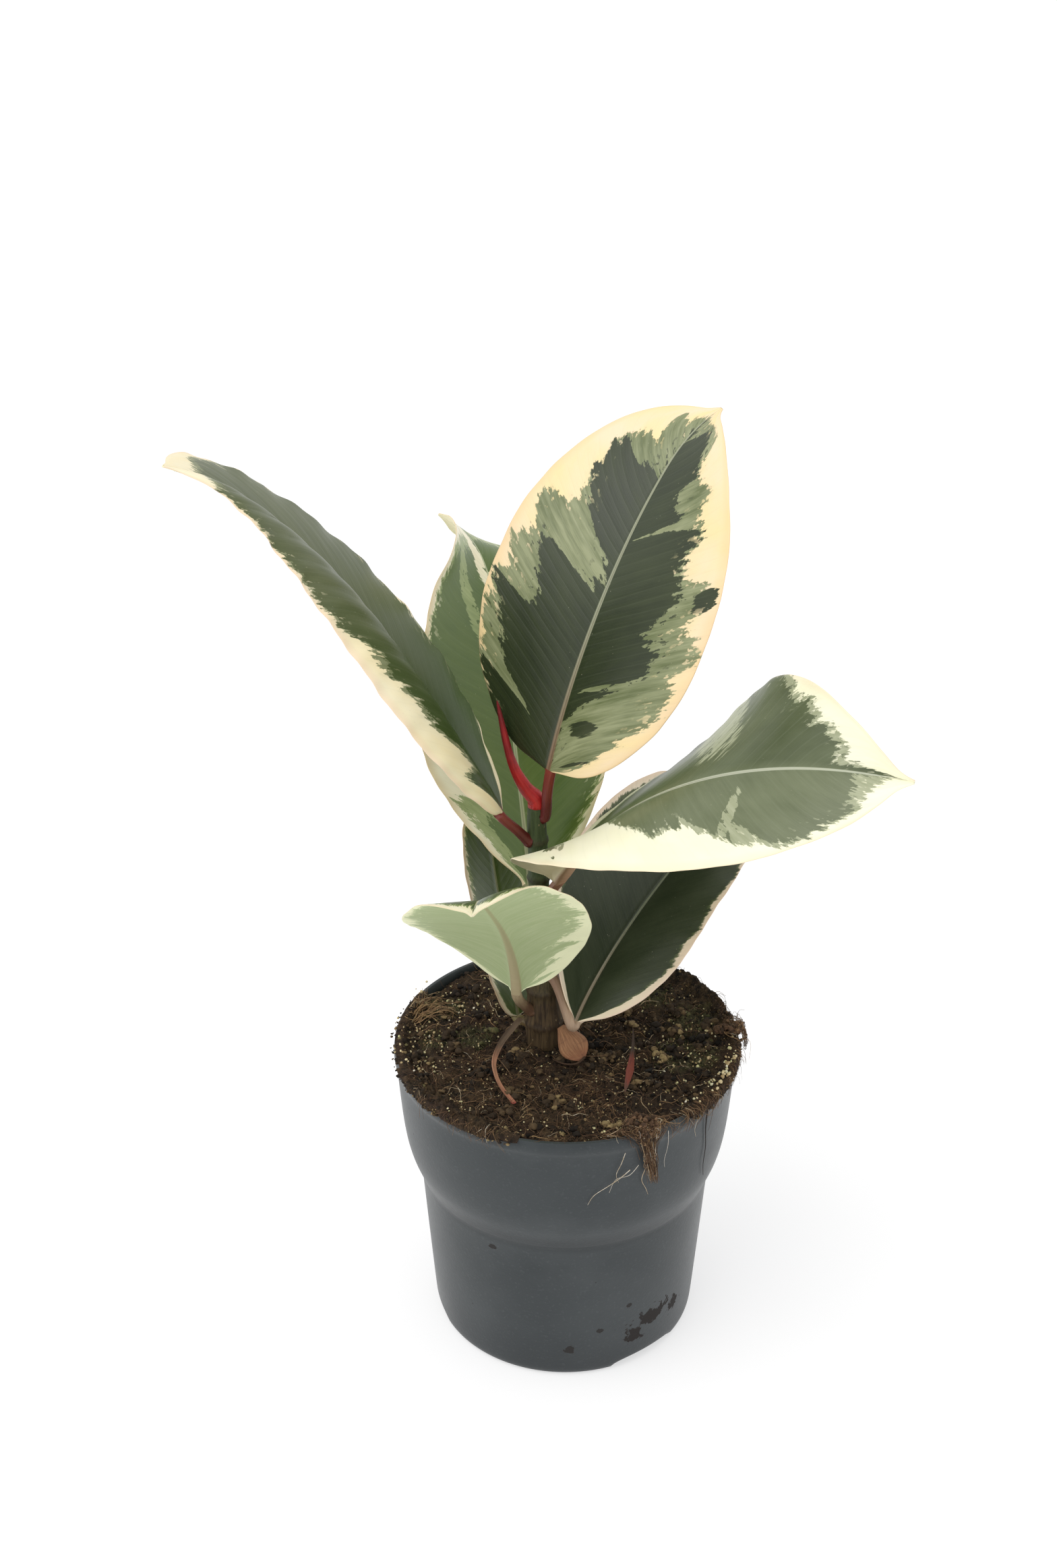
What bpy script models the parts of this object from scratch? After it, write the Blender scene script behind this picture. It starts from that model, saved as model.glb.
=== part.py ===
"""Potted rubber plant: a young variegated rubber fig in a 12 cm nursery pot.

Every separate physical piece is one named object:
  pot                    thin plastic nursery pot, turned shell with a rolled rim,
                         a soft rounded collar, drain holes and three foot notches
  soil                   peat root ball that fills the pot, with a pocket for the stem
  stem                   one woody stem, thick and brown below, slender and green above
  bud_sheath             red pointed sheath round the growing tip
  leaf_*                 seven leaves, each grown in one piece: petiole, blade, midrib
  dried_stipule_*        three dry sheath remnants
  root_clump_*           two clumps of roots and peat that hang over the rim

Frame: +Z up, origin in the middle of the pot's underside, which rests on Z = 0.
The growing side that is seen from the front faces -Y. Units: metres.
"""
import bpy
import bmesh
import math
from mathutils import Vector

for ob in list(bpy.data.objects):
    bpy.data.objects.remove(ob, do_unlink=True)

MM = 0.001
GAP = 0.3                     # clearance kept between touching pieces, mm

# ---------------------------------------------------------------- driving sizes, mm
POT_H = 113.0                 # height of the pot
RIM_R = 60.2                  # outside radius of the rim: a 12 cm pot
FOOT_R = 45.0                 # outside radius of the foot ring
WALL = 1.2                    # wall thickness
COLLAR_Z = 63.0               # where the collar meets the tapered body
SHOULDER_R = 51.6             # body radius just under the collar
FLOOR_T = 1.8                 # floor thickness
HUB_R = 21.0                  # flat disc in the middle of the underside
GROOVE_Z = 3.0                # how far the drain groove is raised
HOLE_R = 4.0                  # drain holes
HOLE_RING = 30.5
HOLES = 6
NOTCH_H = 3.6                 # height of the arched foot notches
NOTCH_HALF = 17.0             # half angle of a notch, degrees
NOTCHES = (-52.0, 68.0, 188.0)
SEGS = 48

SOIL_Z = 110.6                # general level of the soil
SOIL_R = 57.4                 # soil radius at the top
STEM_XY = (-7.5, 2.0)         # stem axis where it leaves the soil
STEM_LEAN = (-3.1, 0.0)       # sideways drift of the stem from soil to top
STEM_TOP = 206.0
STEM_FOOT = 82.0              # buried end of the stem

BLADE_T = 0.6                 # leaf blade thickness

# ---------------------------------------------------------------- helpers


def q3(a, t):
    """Smooth value along a leaf from its three stations: base, middle, tip."""
    return a[0] * (1 - t) * (1 - 2 * t) + 4 * a[1] * t * (1 - t) + a[2] * t * (2 * t - 1)


def smooth(t):
    t = min(1.0, max(0.0, t))
    return t * t * (3 - 2 * t)


def lerp_table(table, t):
    """Monotone-looking blend through a short table of (t, value) pairs."""
    if t <= table[0][0]:
        return table[0][1]
    for (t0, v0), (t1, v1) in zip(table, table[1:]):
        if t <= t1:
            return v0 + (v1 - v0) * (t - t0) / (t1 - t0)
    return table[-1][1]


def material(name, rgb, rough, metallic=0.0):
    m = bpy.data.materials.new(name)
    m.use_nodes = True
    b = m.node_tree.nodes["Principled BSDF"]
    b.inputs["Base Color"].default_value = (*rgb, 1.0)
    b.inputs["Roughness"].default_value = rough
    b.inputs["Metallic"].default_value = metallic
    m.diffuse_color = (*rgb, 1.0)
    return m


def add(name, verts, faces, mat, sharp=40.0):
    me = bpy.data.meshes.new(name)
    me.from_pydata([tuple(c * MM for c in v) for v in verts], [], faces)
    bm = bmesh.new()
    bm.from_mesh(me)
    bmesh.ops.recalc_face_normals(bm, faces=bm.faces)
    if bm.calc_volume(signed=True) < 0:
        bmesh.ops.reverse_faces(bm, faces=bm.faces)
    bm.to_mesh(me)
    bm.free()
    me.materials.append(mat)
    me.shade_smooth()
    me.set_sharp_from_angle(angle=math.radians(sharp))
    ob = bpy.data.objects.new(name, me)
    bpy.context.scene.collection.objects.link(ob)
    return ob


def loft(loops, caps=(True, True)):
    """Closed skin over equal closed loops of points; the ends are capped."""
    n = len(loops[0])
    verts = [tuple(p) for lp in loops for p in lp]
    faces = []
    for i in range(len(loops) - 1):
        a, b = i * n, (i + 1) * n
        for j in range(n):
            k = (j + 1) % n
            faces.append((a + j, a + k, b + k, b + j))
    if caps[0]:
        faces.append(tuple(reversed(range(n))))
    if caps[1]:
        a = (len(loops) - 1) * n
        faces.append(tuple(a + j for j in range(n)))
    return verts, faces


def ring(centre, u, v, ru, rv, n, start=0.0):
    return [centre + u * (ru * math.cos(start + 2 * math.pi * j / n))
            + v * (rv * math.sin(start + 2 * math.pi * j / n)) for j in range(n)]


def hermite(p0, m0, p1, m1, t):
    return (p0 * (2 * t ** 3 - 3 * t ** 2 + 1) + m0 * (t ** 3 - 2 * t ** 2 + t)
            + p1 * (-2 * t ** 3 + 3 * t ** 2) + m1 * (t ** 3 - t ** 2))


def curve_point(pts, t):
    """Catmull-Rom point at t in 0..1 through a short list of points."""
    n = len(pts) - 1
    s = min(t * n, n - 1e-9)
    i = int(s)
    f = s - i
    p = [pts[max(i - 1, 0)], pts[i], pts[i + 1], pts[min(i + 2, n)]]
    return 0.5 * ((2 * p[1]) + (p[2] - p[0]) * f + (2 * p[0] - 5 * p[1] + 4 * p[2] - p[3]) * f * f
                  + (3 * p[1] - p[0] - 3 * p[2] + p[3]) * f ** 3)


# ---------------------------------------------------------------- pot
def pot_profile():
    """Closed section of the turned wall as (radius, height, notch share)."""
    outer = [
        (FOOT_R, 0.0, 1.0), (FOOT_R + 1.4, 0.9, 0.75), (FOOT_R + 2.1, 2.6, 0.35), (FOOT_R + 2.5, 6.0, 0.0),
        (49.6, 34.0, 0.0), (SHOULDER_R, COLLAR_Z - 1.0, 0.0),
        (SHOULDER_R + 0.7, COLLAR_Z + 0.6, 0.0), (53.9, 67.6, 0.0), (55.5, 72.0, 0.0), (56.8, 77.5, 0.0),
        (57.8, 85.0, 0.0), (58.7, 96.0, 0.0), (59.5, 107.0, 0.0), (RIM_R, 109.0, 0.0),
        (RIM_R + 0.1, 111.4, 0.0), (RIM_R - 0.6, POT_H, 0.0)]
    inner = [
        (RIM_R - 1.7, POT_H, 0.0), (RIM_R - 2.3, 111.6, 0.0), (58.0, 103.0, 0.0), (57.3, 94.0, 0.0),
        (56.3, 84.5, 0.0), (55.0, 76.5, 0.0), (53.1, 69.5, 0.0), (51.0, COLLAR_Z + 1.4, 0.0),
        (SHOULDER_R - WALL, COLLAR_Z - 1.6, 0.0), (48.3, 34.0, 0.0), (46.2, 8.5, 0.0),
        (44.6, 6.3, 0.0), (38.6, GROOVE_Z + FLOOR_T, 0.0), (24.5, GROOVE_Z + FLOOR_T, 0.0),
        (HUB_R - 0.8, FLOOR_T, 0.0)]
    under = [(HUB_R + 0.6, 0.0, 0.0), (HUB_R + 2.2, GROOVE_Z, 0.0), (38.2, GROOVE_Z, 0.0), (40.2, 0.0, 1.0)]
    return outer, inner, under


def notch(theta):
    best = 0.0
    for c in NOTCHES:
        d = abs((math.degrees(theta) - c + 180.0) % 360.0 - 180.0) / NOTCH_HALF
        if d < 1.0:
            best = max(best, NOTCH_H * (1.0 - d * d) ** 0.6)
    return best


def make_pot(mat):
    outer, inner, under = pot_profile()
    prof = outer + inner
    n = len(prof) + len(under)
    verts, faces = [], []
    loop = prof + [None] + under            # None: the centre of the floor, added below
    pts = prof + under
    for s in range(SEGS):
        th = 2 * math.pi * s / SEGS
        up = notch(th)
        for r, z, share in pts:
            verts.append((r * math.cos(th), r * math.sin(th), z + up * share))
    top_c = len(verts)
    verts.append((0.0, 0.0, FLOOR_T))
    bot_c = len(verts)
    verts.append((0.0, 0.0, 0.0))
    last_inner = len(prof) - 1
    for s in range(SEGS):
        a, b = s * n, ((s + 1) % SEGS) * n
        for j in range(n):
            k = (j + 1) % n
            if j == last_inner:             # floor: both faces close on the axis
                faces.append((a + j, b + j, top_c))
                faces.append((b + j + 1, a + j + 1, bot_c))
                continue
            faces.append((a + j, b + j, b + k, a + k))
    ob = add("pot", verts, faces, mat, 32.0)
    holes = bmesh.new()
    for i in range(HOLES):
        a = math.radians(15.0 + 360.0 * i / HOLES)
        geo = bmesh.ops.create_cone(holes, cap_ends=True, segments=14, radius1=HOLE_R * MM,
                                    radius2=HOLE_R * MM, depth=6 * MM)
        for v in geo["verts"]:
            v.co += Vector((HOLE_RING * math.cos(a), HOLE_RING * math.sin(a), GROOVE_Z + 1.0)) * MM
    me = bpy.data.meshes.new("drain_cutter")
    holes.to_mesh(me)
    holes.free()
    cut = bpy.data.objects.new("drain_cutter", me)
    bpy.context.scene.collection.objects.link(cut)
    cut.hide_render = True
    cut.display_type = 'WIRE'
    mod = ob.modifiers.new("drain_holes", 'BOOLEAN')
    mod.operation = 'DIFFERENCE'
    mod.solver = 'EXACT'
    mod.object = cut
    return ob


# ---------------------------------------------------------------- stem
STEM_R = [(82, 5.2), (100, 6.2), (112, 6.5), (122, 6.3), (130, 5.5), (140, 4.5), (152, 3.9),
          (168, 3.6), (185, 3.4), (200, 3.2), (206, 2.8)]
NODE_Z = (120.0, 133.0, 148.0, 163.0, 178.0, 193.0)


def stem_axis(z):
    t = (z - 112.0) / (STEM_TOP - 112.0)
    return Vector((STEM_XY[0] + STEM_LEAN[0] * t, STEM_XY[1] + STEM_LEAN[1] * t, z))


def stem_radius(z):
    r = lerp_table(STEM_R, z)
    for nz in NODE_Z:
        r += 0.35 * math.exp(-((z - nz) / 1.3) ** 2)
    return r


def make_stem(mat):
    zs = sorted(set([82, 90, 100, 106, 112, 116] + [z + d for z in NODE_Z for d in (-1.6, 0, 1.6)]
                    + [126.5, 140.5, 155.5, 170.5, 185.5, 199, 203, 205.2, 206]))
    loops = []
    for z in zs:
        r = stem_radius(z) - (0.5 if z > 205.5 else 0.0)
        loops.append(ring(stem_axis(z), Vector((1, 0, 0)), Vector((0, 1, 0)), r, r, 14))
    return add("stem", *loft(loops), mat)


# ---------------------------------------------------------------- soil
def soil_height(x, y):
    """Top of the soil: mounded round the stem, uneven, heaped towards the rim."""
    r = math.hypot(x, y)
    th = math.atan2(y, x)
    rs = math.hypot(x - STEM_XY[0], y - STEM_XY[1])
    h = SOIL_Z + 1.2 * math.exp(-(rs / 13.0) ** 2)
    edge = smooth((r - 30.0) / 28.0)
    h += edge * (0.5 + 0.9 * math.cos(th - math.radians(20)) + 0.4 * math.cos(3 * th + 0.6))
    h += 0.45 * math.sin(x * 0.13 + 0.4) * math.cos(y * 0.11 - 0.3)
    return h


def make_soil(mat):
    n = 44
    side = [(SOIL_R - 0.3, 104.5), (56.6, 94.0), (55.4, 84.5), (54.1, 77.0), (52.0, 69.5), (50.0, 63.5),
            (48.0, 38.0), (45.6, 10.0), (43.6, 7.4)]
    rings = []
    for r in (9.0, 20.0, 31.0, 41.0, 49.0, 54.5, SOIL_R):
        rings.append([(r * math.cos(2 * math.pi * k / n), r * math.sin(2 * math.pi * k / n),
                       soil_height(r * math.cos(2 * math.pi * k / n), r * math.sin(2 * math.pi * k / n))
                       - (0.7 if r == SOIL_R else 0.0))
                      for k in range(n)])
    for r, z in side:
        rings.append([(r * math.cos(2 * math.pi * k / n), r * math.sin(2 * math.pi * k / n), z) for k in range(n)])
    rings.append([(22.0 * math.cos(2 * math.pi * k / n), 22.0 * math.sin(2 * math.pi * k / n), 5.6) for k in range(n)])
    verts = [p for lp in rings for p in lp]
    faces = []
    for i in range(len(rings) - 1):
        a, b = i * n, (i + 1) * n
        for k in range(n):
            j = (k + 1) % n
            faces.append((a + k, b + k, b + j, a + j))
    c0 = len(verts)
    verts.append((0, 0, soil_height(0, 0)))
    c1 = len(verts)
    verts.append((0, 0, 5.6))
    last = (len(rings) - 1) * n
    for k in range(n):
        j = (k + 1) % n
        faces.append((c0, k, j))
        faces.append((c1, last + j, last + k))
    ob = add("soil", verts, faces, mat, 50.0)
    zs = (82 - GAP, 90, 100, 106, 112, 125)
    loops = []
    for z in zs:
        r = stem_radius(max(z, 82)) + GAP
        loops.append(ring(stem_axis(z), Vector((1, 0, 0)), Vector((0, 1, 0)), r, r, 14))
    v, f = loft(loops)
    cut = add("stem_pocket_cutter", v, f, mat)
    cut.hide_render = True
    cut.display_type = 'WIRE'
    mod = ob.modifiers.new("stem_pocket", 'BOOLEAN')
    mod.operation = 'DIFFERENCE'
    mod.solver = 'EXACT'
    mod.object = cut
    return ob


# ---------------------------------------------------------------- leaves
# Half-width of a blade along its length, as a share of the widest half.
OUTLINE = [(0, .05), (.015, .30), (.05, .50), (.10, .66), (.20, .86), (.35, .985), (.50, 1.0),
           (.65, .93), (.80, .72), (.90, .46), (.95, .24), (.975, .10), (1.0, .015)]

# Each leaf: where the petiole leaves the stem (height, compass angle), where the blade
# starts, its length and width, then heading, rise, roll and the fold of the right and
# left halves, each in degrees at the base, the middle and the tip. curl: how much each
# half bends back towards its margin; crest: extra rise beside the midrib; nod and turn:
# how the drip tip bends down and sideways.
LEAVES = {
    "leaf_top": dict(node=(202.0, -25), base=(-6.5, -2.5, 221.5), size=(132, 87), heading=(26, 41, 27),
                     rise=(78, 59, 46), roll=(-16, -6, -2), right=(4, 7, 17), left=(16, 11, 14),
                     curl=(-11, -9), crest=(0, 0), skew=1.08, nod=-18, turn=-2),
    "leaf_upper_left": dict(node=(193.0, 205), base=(-22.0, -2.5, 206.0), size=(169, 62), heading=(178, 178, 234),
                            rise=(61, 52, 35), roll=(-24, -32, -14), right=(37, 41, 45), left=(6, -12, 7),
                            curl=(-14, -59), crest=(0, 42), skew=1.11, nod=-8, turn=6),
    "leaf_back": dict(node=(160.0, 115), base=(-13.0, 18.0, 164.5), size=(141, 80), heading=(92, 113, 134),
                      rise=(21, 73, 36), roll=(-14, -1, -14), right=(-2, 16, -28), left=(19, 11, 23),
                      curl=(-23, 7), crest=(0, 0), skew=1.44, nod=-15, turn=28),
    "leaf_right": dict(node=(169.0, -50), base=(-3.5, -4.5, 181.5), size=(165, 70), heading=(-57, -43, -33),
                       rise=(56, 34, 3), roll=(-12, -15, -60), right=(46, -7, 14), left=(26, 0, 57),
                       curl=(-10, 4), crest=(0, 17), skew=0.99, nod=-2, turn=4),
    "leaf_lower_right": dict(node=(140.0, -38), start=-0.35, base=(3.0, -10.5, 127.5), size=(110, 71), heading=(68, 45, 50),
                             rise=(22, 33, 12), roll=(0, 16, 0), right=(20, 12, 24), left=(66, 70, 56),
                             curl=(-17, 12), crest=(0, 0), skew=1.14, nod=27, turn=25),
    "leaf_front_small": dict(node=(126.0, 215), base=(-17.0, -9.5, 140.0), size=(99, 60), heading=(249, 258, 261),
                             rise=(83, 45, 51), roll=(-11, -13, -17), right=(22, 6, 11), left=(27, 12, 22),
                             curl=(-2, -27), crest=(0, 0), skew=1.08, nod=-49, turn=0),
    "leaf_back_left": dict(node=(116.0, 150), base=(-17.0, 8.0, 117.5), size=(84, 36), heading=(110, 108, 98),
                           rise=(64, 59, 55), roll=(-4, -10, -14), right=(-18, -16, -8), left=(34, 28, 8),
                           curl=(-5, 11), crest=(0, 0), skew=0.95, nod=3, turn=12),
}
ACROSS = (1.0, 0.72, 0.40, 0.0)       # stations from margin to midrib on each half
ALONG = [0, .012, .03, .06, .10, .15, .21, .28, .36, .44, .52, .60, .68, .75, .81, .87, .92, .96, .985, 1.0]


def half_width(t, skew):
    return lerp_table(OUTLINE, min(1.0, max(0.0, t)) ** skew)


def blade_frames(p, steps=100):
    """Midrib points with tangent, sideways and upward directions, every 1/steps."""
    out = []
    pos = Vector(p["base"])
    length = p["size"][0]
    last = None
    for i in range(steps + 1):
        t = i / steps
        u = smooth((t - 0.78) / 0.22)
        h = math.radians(q3(p["heading"], t) + p["turn"] * u)
        e = math.radians(q3(p["rise"], t) + p["nod"] * u)
        tan = Vector((math.cos(e) * math.cos(h), math.cos(e) * math.sin(h), math.sin(e)))
        if last is not None:
            pos = pos + (tan + last) * (0.5 * length / steps)
        last = tan
        side = Vector((math.sin(h), -math.cos(h), 0.0))
        up = side.cross(tan)
        r = math.radians(q3(p["roll"], t))
        s2 = side * math.cos(r) + up * math.sin(r)
        n2 = up * math.cos(r) - side * math.sin(r)
        out.append((t, pos.copy(), tan, s2, n2))
    return out


def frame_at(frames, t):
    i = min(int(t * (len(frames) - 1)), len(frames) - 2)
    f = t * (len(frames) - 1) - i
    a, b = frames[i], frames[i + 1]
    return tuple(a[k].lerp(b[k], f) for k in (1, 2, 3, 4))


def half_point(p, key, t, s, fr, steps=12):
    """Point of one half blade at share s from midrib (0) to margin (1)."""
    pos, tan, side, up = fr
    w = 0.5 * p["size"][1] * half_width(t, p["skew"])
    sign = 1.0 if key == "right" else -1.0
    k = 0 if key == "right" else 1
    fold = q3(p[key], t)
    x = y = 0.0
    for i in range(steps):
        m = s * (i + 0.5) / steps
        phi = math.radians(fold + p["curl"][k] * m + p["crest"][k] * (1 - m) ** 4 * math.sin(math.pi * t))
        x += math.cos(phi) * w * s / steps
        y += math.sin(phi) * w * s / steps
    phi = math.radians(fold + p["curl"][k] * s + p["crest"][k] * (1 - s) ** 4 * math.sin(math.pi * t))
    normal = up * math.cos(phi) - side * (sign * math.sin(phi))
    return pos + side * (sign * x) + up * y, normal.normalized()


def make_leaf(name, mat):
    p = LEAVES[name]
    frames = blade_frames(p)
    blade = []
    for t in ALONG:
        fr = frame_at(frames, t)
        pts = []
        for s in ACROSS:
            pts.append(half_point(p, "left", t, s, fr))
        for s in reversed(ACROSS[:-1]):
            pts.append(half_point(p, "right", t, s, fr))
        thick = BLADE_T * (1.0 if t < 0.97 else 0.7)
        ridge = 2.6 * (1 - t) ** 1.5 * (1.0 if t > 0.02 else 0.9) + 0.3
        top = [q + n * (thick / 2) for q, n in pts]
        low = []
        for i, (q, n) in enumerate(pts):
            low.append(q - n * (thick / 2 + (ridge if i == len(ACROSS) - 1 else 0.0)))
        # across the top from left to right, then back along the underside
        blade.append(top + list(reversed(low)))
    n = len(blade[0])
    # petiole: from the stem out, and up or down, into the base of the midrib
    z, compass = p["node"]
    out = Vector((math.cos(math.radians(compass)), math.sin(math.radians(compass)), 0.0))
    p0 = stem_axis(z) + out * (stem_radius(z) + GAP + 0.45)
    pos, tan, side, up = frame_at(frames, 0.0)
    span = (pos - p0).length
    m0 = (out + Vector((0, 0, p.get("start", 0.35)))).normalized() * span * 1.0
    m1 = tan * span * 1.0
    loops = []
    steps = 6 if span > 6 else 4
    w0 = 0.5 * p["size"][1] * half_width(0, p["skew"])
    prev_side = None
    for i in range(steps):
        t = i / steps
        c = hermite(p0, m0, pos, m1, t)
        d = (hermite(p0, m0, pos, m1, t + 0.02) - hermite(p0, m0, pos, m1, max(t - 0.02, 0.0))).normalized()
        if i == 0:
            d = out.copy()
        goal_side = side
        s = (goal_side - d * goal_side.dot(d))
        s.normalize()
        u = s.cross(d)
        rr = (2.1 if i == 0 else 1.85)
        lp = []
        half = n // 2
        for j in range(half):
            a = math.radians(172 - 164 * j / (half - 1))
            lp.append(c + s * (rr * math.cos(a)) + u * (rr * math.sin(a)))
        for j in range(half):
            a = math.radians(-8 - 164 * j / (half - 1))
            lp.append(c + s * (rr * math.cos(a)) + u * (rr * math.sin(a)))
        loops.append(lp)
    return add(name, *loft(loops + blade), mat, 60.0)


# ---------------------------------------------------------------- bud sheath and dry remnants
def tube(name, pts, radii, mat, n=10, flat=1.0, steps=12, up=Vector((0, 0, 1))):
    """Lofted tube through a few points; flat < 1 presses it into a ribbon."""
    pts = [Vector(p) for p in pts]
    loops = []
    for i in range(steps + 1):
        t = i / steps
        c = curve_point(pts, t)
        d = (curve_point(pts, min(t + 0.02, 1.0)) - curve_point(pts, max(t - 0.02, 0.0))).normalized()
        u = d.cross(up).normalized()
        v = u.cross(d)
        r = lerp_table(radii, t)
        loops.append(ring(c, u, v, r, r * flat, n))
    return add(name, *loft(loops), mat, 60.0)


def make_papery(mat):
    """A dry spoon-shaped bract leaning out from the foot of the stem."""
    top, tip = Vector((0.4, -6.2, 119.6)), Vector((5.4, -13.0, 113.6))
    axis = (tip - top).normalized()
    side = Vector((0.75, 0.45, 0.3))
    side = (side - axis * side.dot(axis)).normalized()
    out = side.cross(axis)
    if out.y > 0:
        out = -out
    loops = []
    length = (tip - top).length
    for i in range(9):
        t = i / 8
        w = 5.2 * math.sin(math.pi * (0.12 + 0.83 * t)) ** 0.8
        c = top + axis * (length * t)
        lp = []
        for j in range(7):
            s = -1 + j / 3
            lp.append(c + side * (w * s) + out * (0.35 + 1.9 * (1 - s * s) * math.sin(math.pi * min(1, t + 0.1))))
        for j in range(7):
            s = 1 - j / 3
            lp.append(c + side * (w * s) + out * (-0.25 + 1.9 * (1 - s * s) * math.sin(math.pi * min(1, t + 0.1))))
        loops.append(lp)
    return add("dried_stipule_papery", *loft(loops), mat, 60.0)


def make_clump(name, angle, path, widths, thick, mat, n=10):
    """A clump of peat and roots that lies over the rim and hangs down outside."""
    a = math.radians(angle)
    rad, tang = Vector((math.cos(a), math.sin(a), 0)), Vector((-math.sin(a), math.cos(a), 0))
    pts = [rad * r + Vector((0, 0, z)) + tang * k for r, z, k in path]
    loops = []
    steps = 14
    for i in range(steps + 1):
        t = i / steps
        c = curve_point(pts, t)
        d = (curve_point(pts, min(t + 0.02, 1.0)) - curve_point(pts, max(t - 0.02, 0.0))).normalized()
        v = tang.cross(d).normalized()
        w = lerp_table(widths, t) * (1 + 0.12 * math.sin(9 * t + angle))
        h = lerp_table(thick, t) * (1 + 0.10 * math.cos(11 * t))
        loops.append(ring(c, tang, v, w, h, n))
    return add(name, *loft(loops), mat, 60.0)


# ---------------------------------------------------------------- build
make_pot(material("pot_plastic", (0.115, 0.135, 0.155), 0.42))
make_soil(material("soil_peat", (0.060, 0.040, 0.026), 0.95))
make_stem(material("stem_bark", (0.115, 0.110, 0.055), 0.60))

leaf_rgb = {
    "leaf_top": (0.035, 0.060, 0.035), "leaf_upper_left": (0.080, 0.110, 0.070), "leaf_back": (0.070, 0.120, 0.050),
    "leaf_right": (0.080, 0.115, 0.075), "leaf_lower_right": (0.025, 0.045, 0.025),
    "leaf_front_small": (0.330, 0.400, 0.220), "leaf_back_left": (0.040, 0.070, 0.030)}
for leaf, rgb in leaf_rgb.items():
    make_leaf(leaf, material(leaf + "_skin", rgb, 0.40))

tube("bud_sheath", [(-10.6, 2.0, 206.4), (-10.7, 2.0, 208.2), (-14.6, 2.3, 213.0), (-19.1, 3.6, 223.0), (-23.4, 8.0, 241.5)],
     [(0, 2.7), (0.12, 3.1), (0.3, 2.9), (0.55, 2.3), (0.85, 1.3), (1, 0.25)],
     material("sheath_red", (0.42, 0.035, 0.030), 0.45), n=12, steps=12, up=Vector((1, 0.2, 0)))
tube("dried_stipule_curly",
     [(-15.6, -6.5, 125.2), (-19.6, -10.0, 123.6), (-24.2, -14.5, 119.2), (-24.9, -19.5, 114.6), (-22.6, -27.0, 112.9), (-18.8, -36.5, 112.8)],
     [(0, 1.3), (0.2, 1.5), (0.5, 1.3), (0.8, 1.0), (1, 0.35)],
     material("stipule_pink", (0.36, 0.19, 0.13), 0.75), n=8, flat=0.34, steps=14, up=Vector((0, -0.6, 0.8)))
make_papery(material("stipule_brown", (0.34, 0.18, 0.09), 0.75))
tube("dried_stipule_red",
     [(23.2, -4.5, 120.6), (23.0, -10.5, 116.6), (21.6, -21.0, 113.6), (19.6, -31.5, 113.0)],
     [(0, 0.45), (0.3, 1.2), (0.65, 1.2), (1, 0.35)],
     material("stipule_red", (0.30, 0.10, 0.07), 0.75), n=8, flat=0.36, steps=10, up=Vector((0, -0.6, 0.8)))
root = material("root_peat", (0.13, 0.085, 0.050), 0.95)
make_clump("root_clump_front", -66.0,
           [(52.0, 114.8, 0.0), (57.0, 116.6, 0.4), (61.6, 115.4, 0.9), (63.1, 110.0, 1.4), (62.4, 102.0, 2.6), (61.6, 93.0, 4.2)],
           [(0, 1.6), (0.25, 5.0), (0.5, 6.0), (0.75, 4.0), (1, 0.8)], [(0, 0.6), (0.3, 1.7), (0.7, 1.5), (1, 0.5)], root)
make_clump("root_clump_right", 2.0,
           [(52.5, 116.0, 0.0), (57.5, 118.0, 0.4), (62.2, 117.0, 0.8), (64.6, 112.5, 1.0), (65.4, 106.5, 0.4)],
           [(0, 1.4), (0.3, 4.2), (0.6, 4.4), (1, 0.8)], [(0, 0.5), (0.3, 1.7), (0.7, 1.6), (1, 0.5)], root)
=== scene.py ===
import bpy
import bmesh
import math
import random
import numpy as np
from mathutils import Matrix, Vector, noise


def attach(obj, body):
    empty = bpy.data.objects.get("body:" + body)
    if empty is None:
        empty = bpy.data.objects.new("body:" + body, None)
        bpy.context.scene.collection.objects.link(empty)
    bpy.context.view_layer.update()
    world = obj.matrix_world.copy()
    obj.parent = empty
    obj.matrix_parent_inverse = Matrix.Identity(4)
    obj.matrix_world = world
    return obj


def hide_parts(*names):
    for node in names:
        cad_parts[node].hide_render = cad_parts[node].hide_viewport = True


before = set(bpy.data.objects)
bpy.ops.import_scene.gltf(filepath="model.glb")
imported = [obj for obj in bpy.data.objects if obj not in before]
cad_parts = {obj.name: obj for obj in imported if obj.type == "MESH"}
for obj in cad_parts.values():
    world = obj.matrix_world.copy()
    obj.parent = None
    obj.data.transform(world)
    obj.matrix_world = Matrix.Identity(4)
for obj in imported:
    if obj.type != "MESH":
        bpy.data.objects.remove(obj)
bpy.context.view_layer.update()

MM = 0.001
rnd = random.Random(7)
rng_np = np.random.default_rng(11)

# ------------------------------------------------------------------ sizes shared with the CAD, mm
POT_H, RIM_R, FOOT_R, WALL, COLLAR_Z, SHOULDER_R = 113.0, 60.2, 45.0, 1.2, 63.0, 51.6
FLOOR_T, HUB_R, GROOVE_Z, HOLE_R, HOLE_RING, HOLES = 1.8, 21.0, 3.0, 4.0, 30.5, 6
NOTCH_H, NOTCH_HALF, NOTCHES = 3.6, 17.0, (-52.0, 68.0, 188.0)
SOIL_Z, SOIL_R = 110.6, 57.4
STEM_XY, STEM_LEAN, STEM_TOP = (-7.5, 2.0), (-3.1, 0.0), 206.0
BLADE_T, GAP = 0.6, 0.3

STEM_R = [(82, 5.2), (100, 6.2), (112, 6.5), (122, 6.3), (130, 5.5), (140, 4.5), (152, 3.9),
          (168, 3.6), (185, 3.4), (200, 3.2), (206, 2.8)]
NODE_Z = (120.0, 133.0, 148.0, 163.0, 178.0, 193.0)

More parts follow.
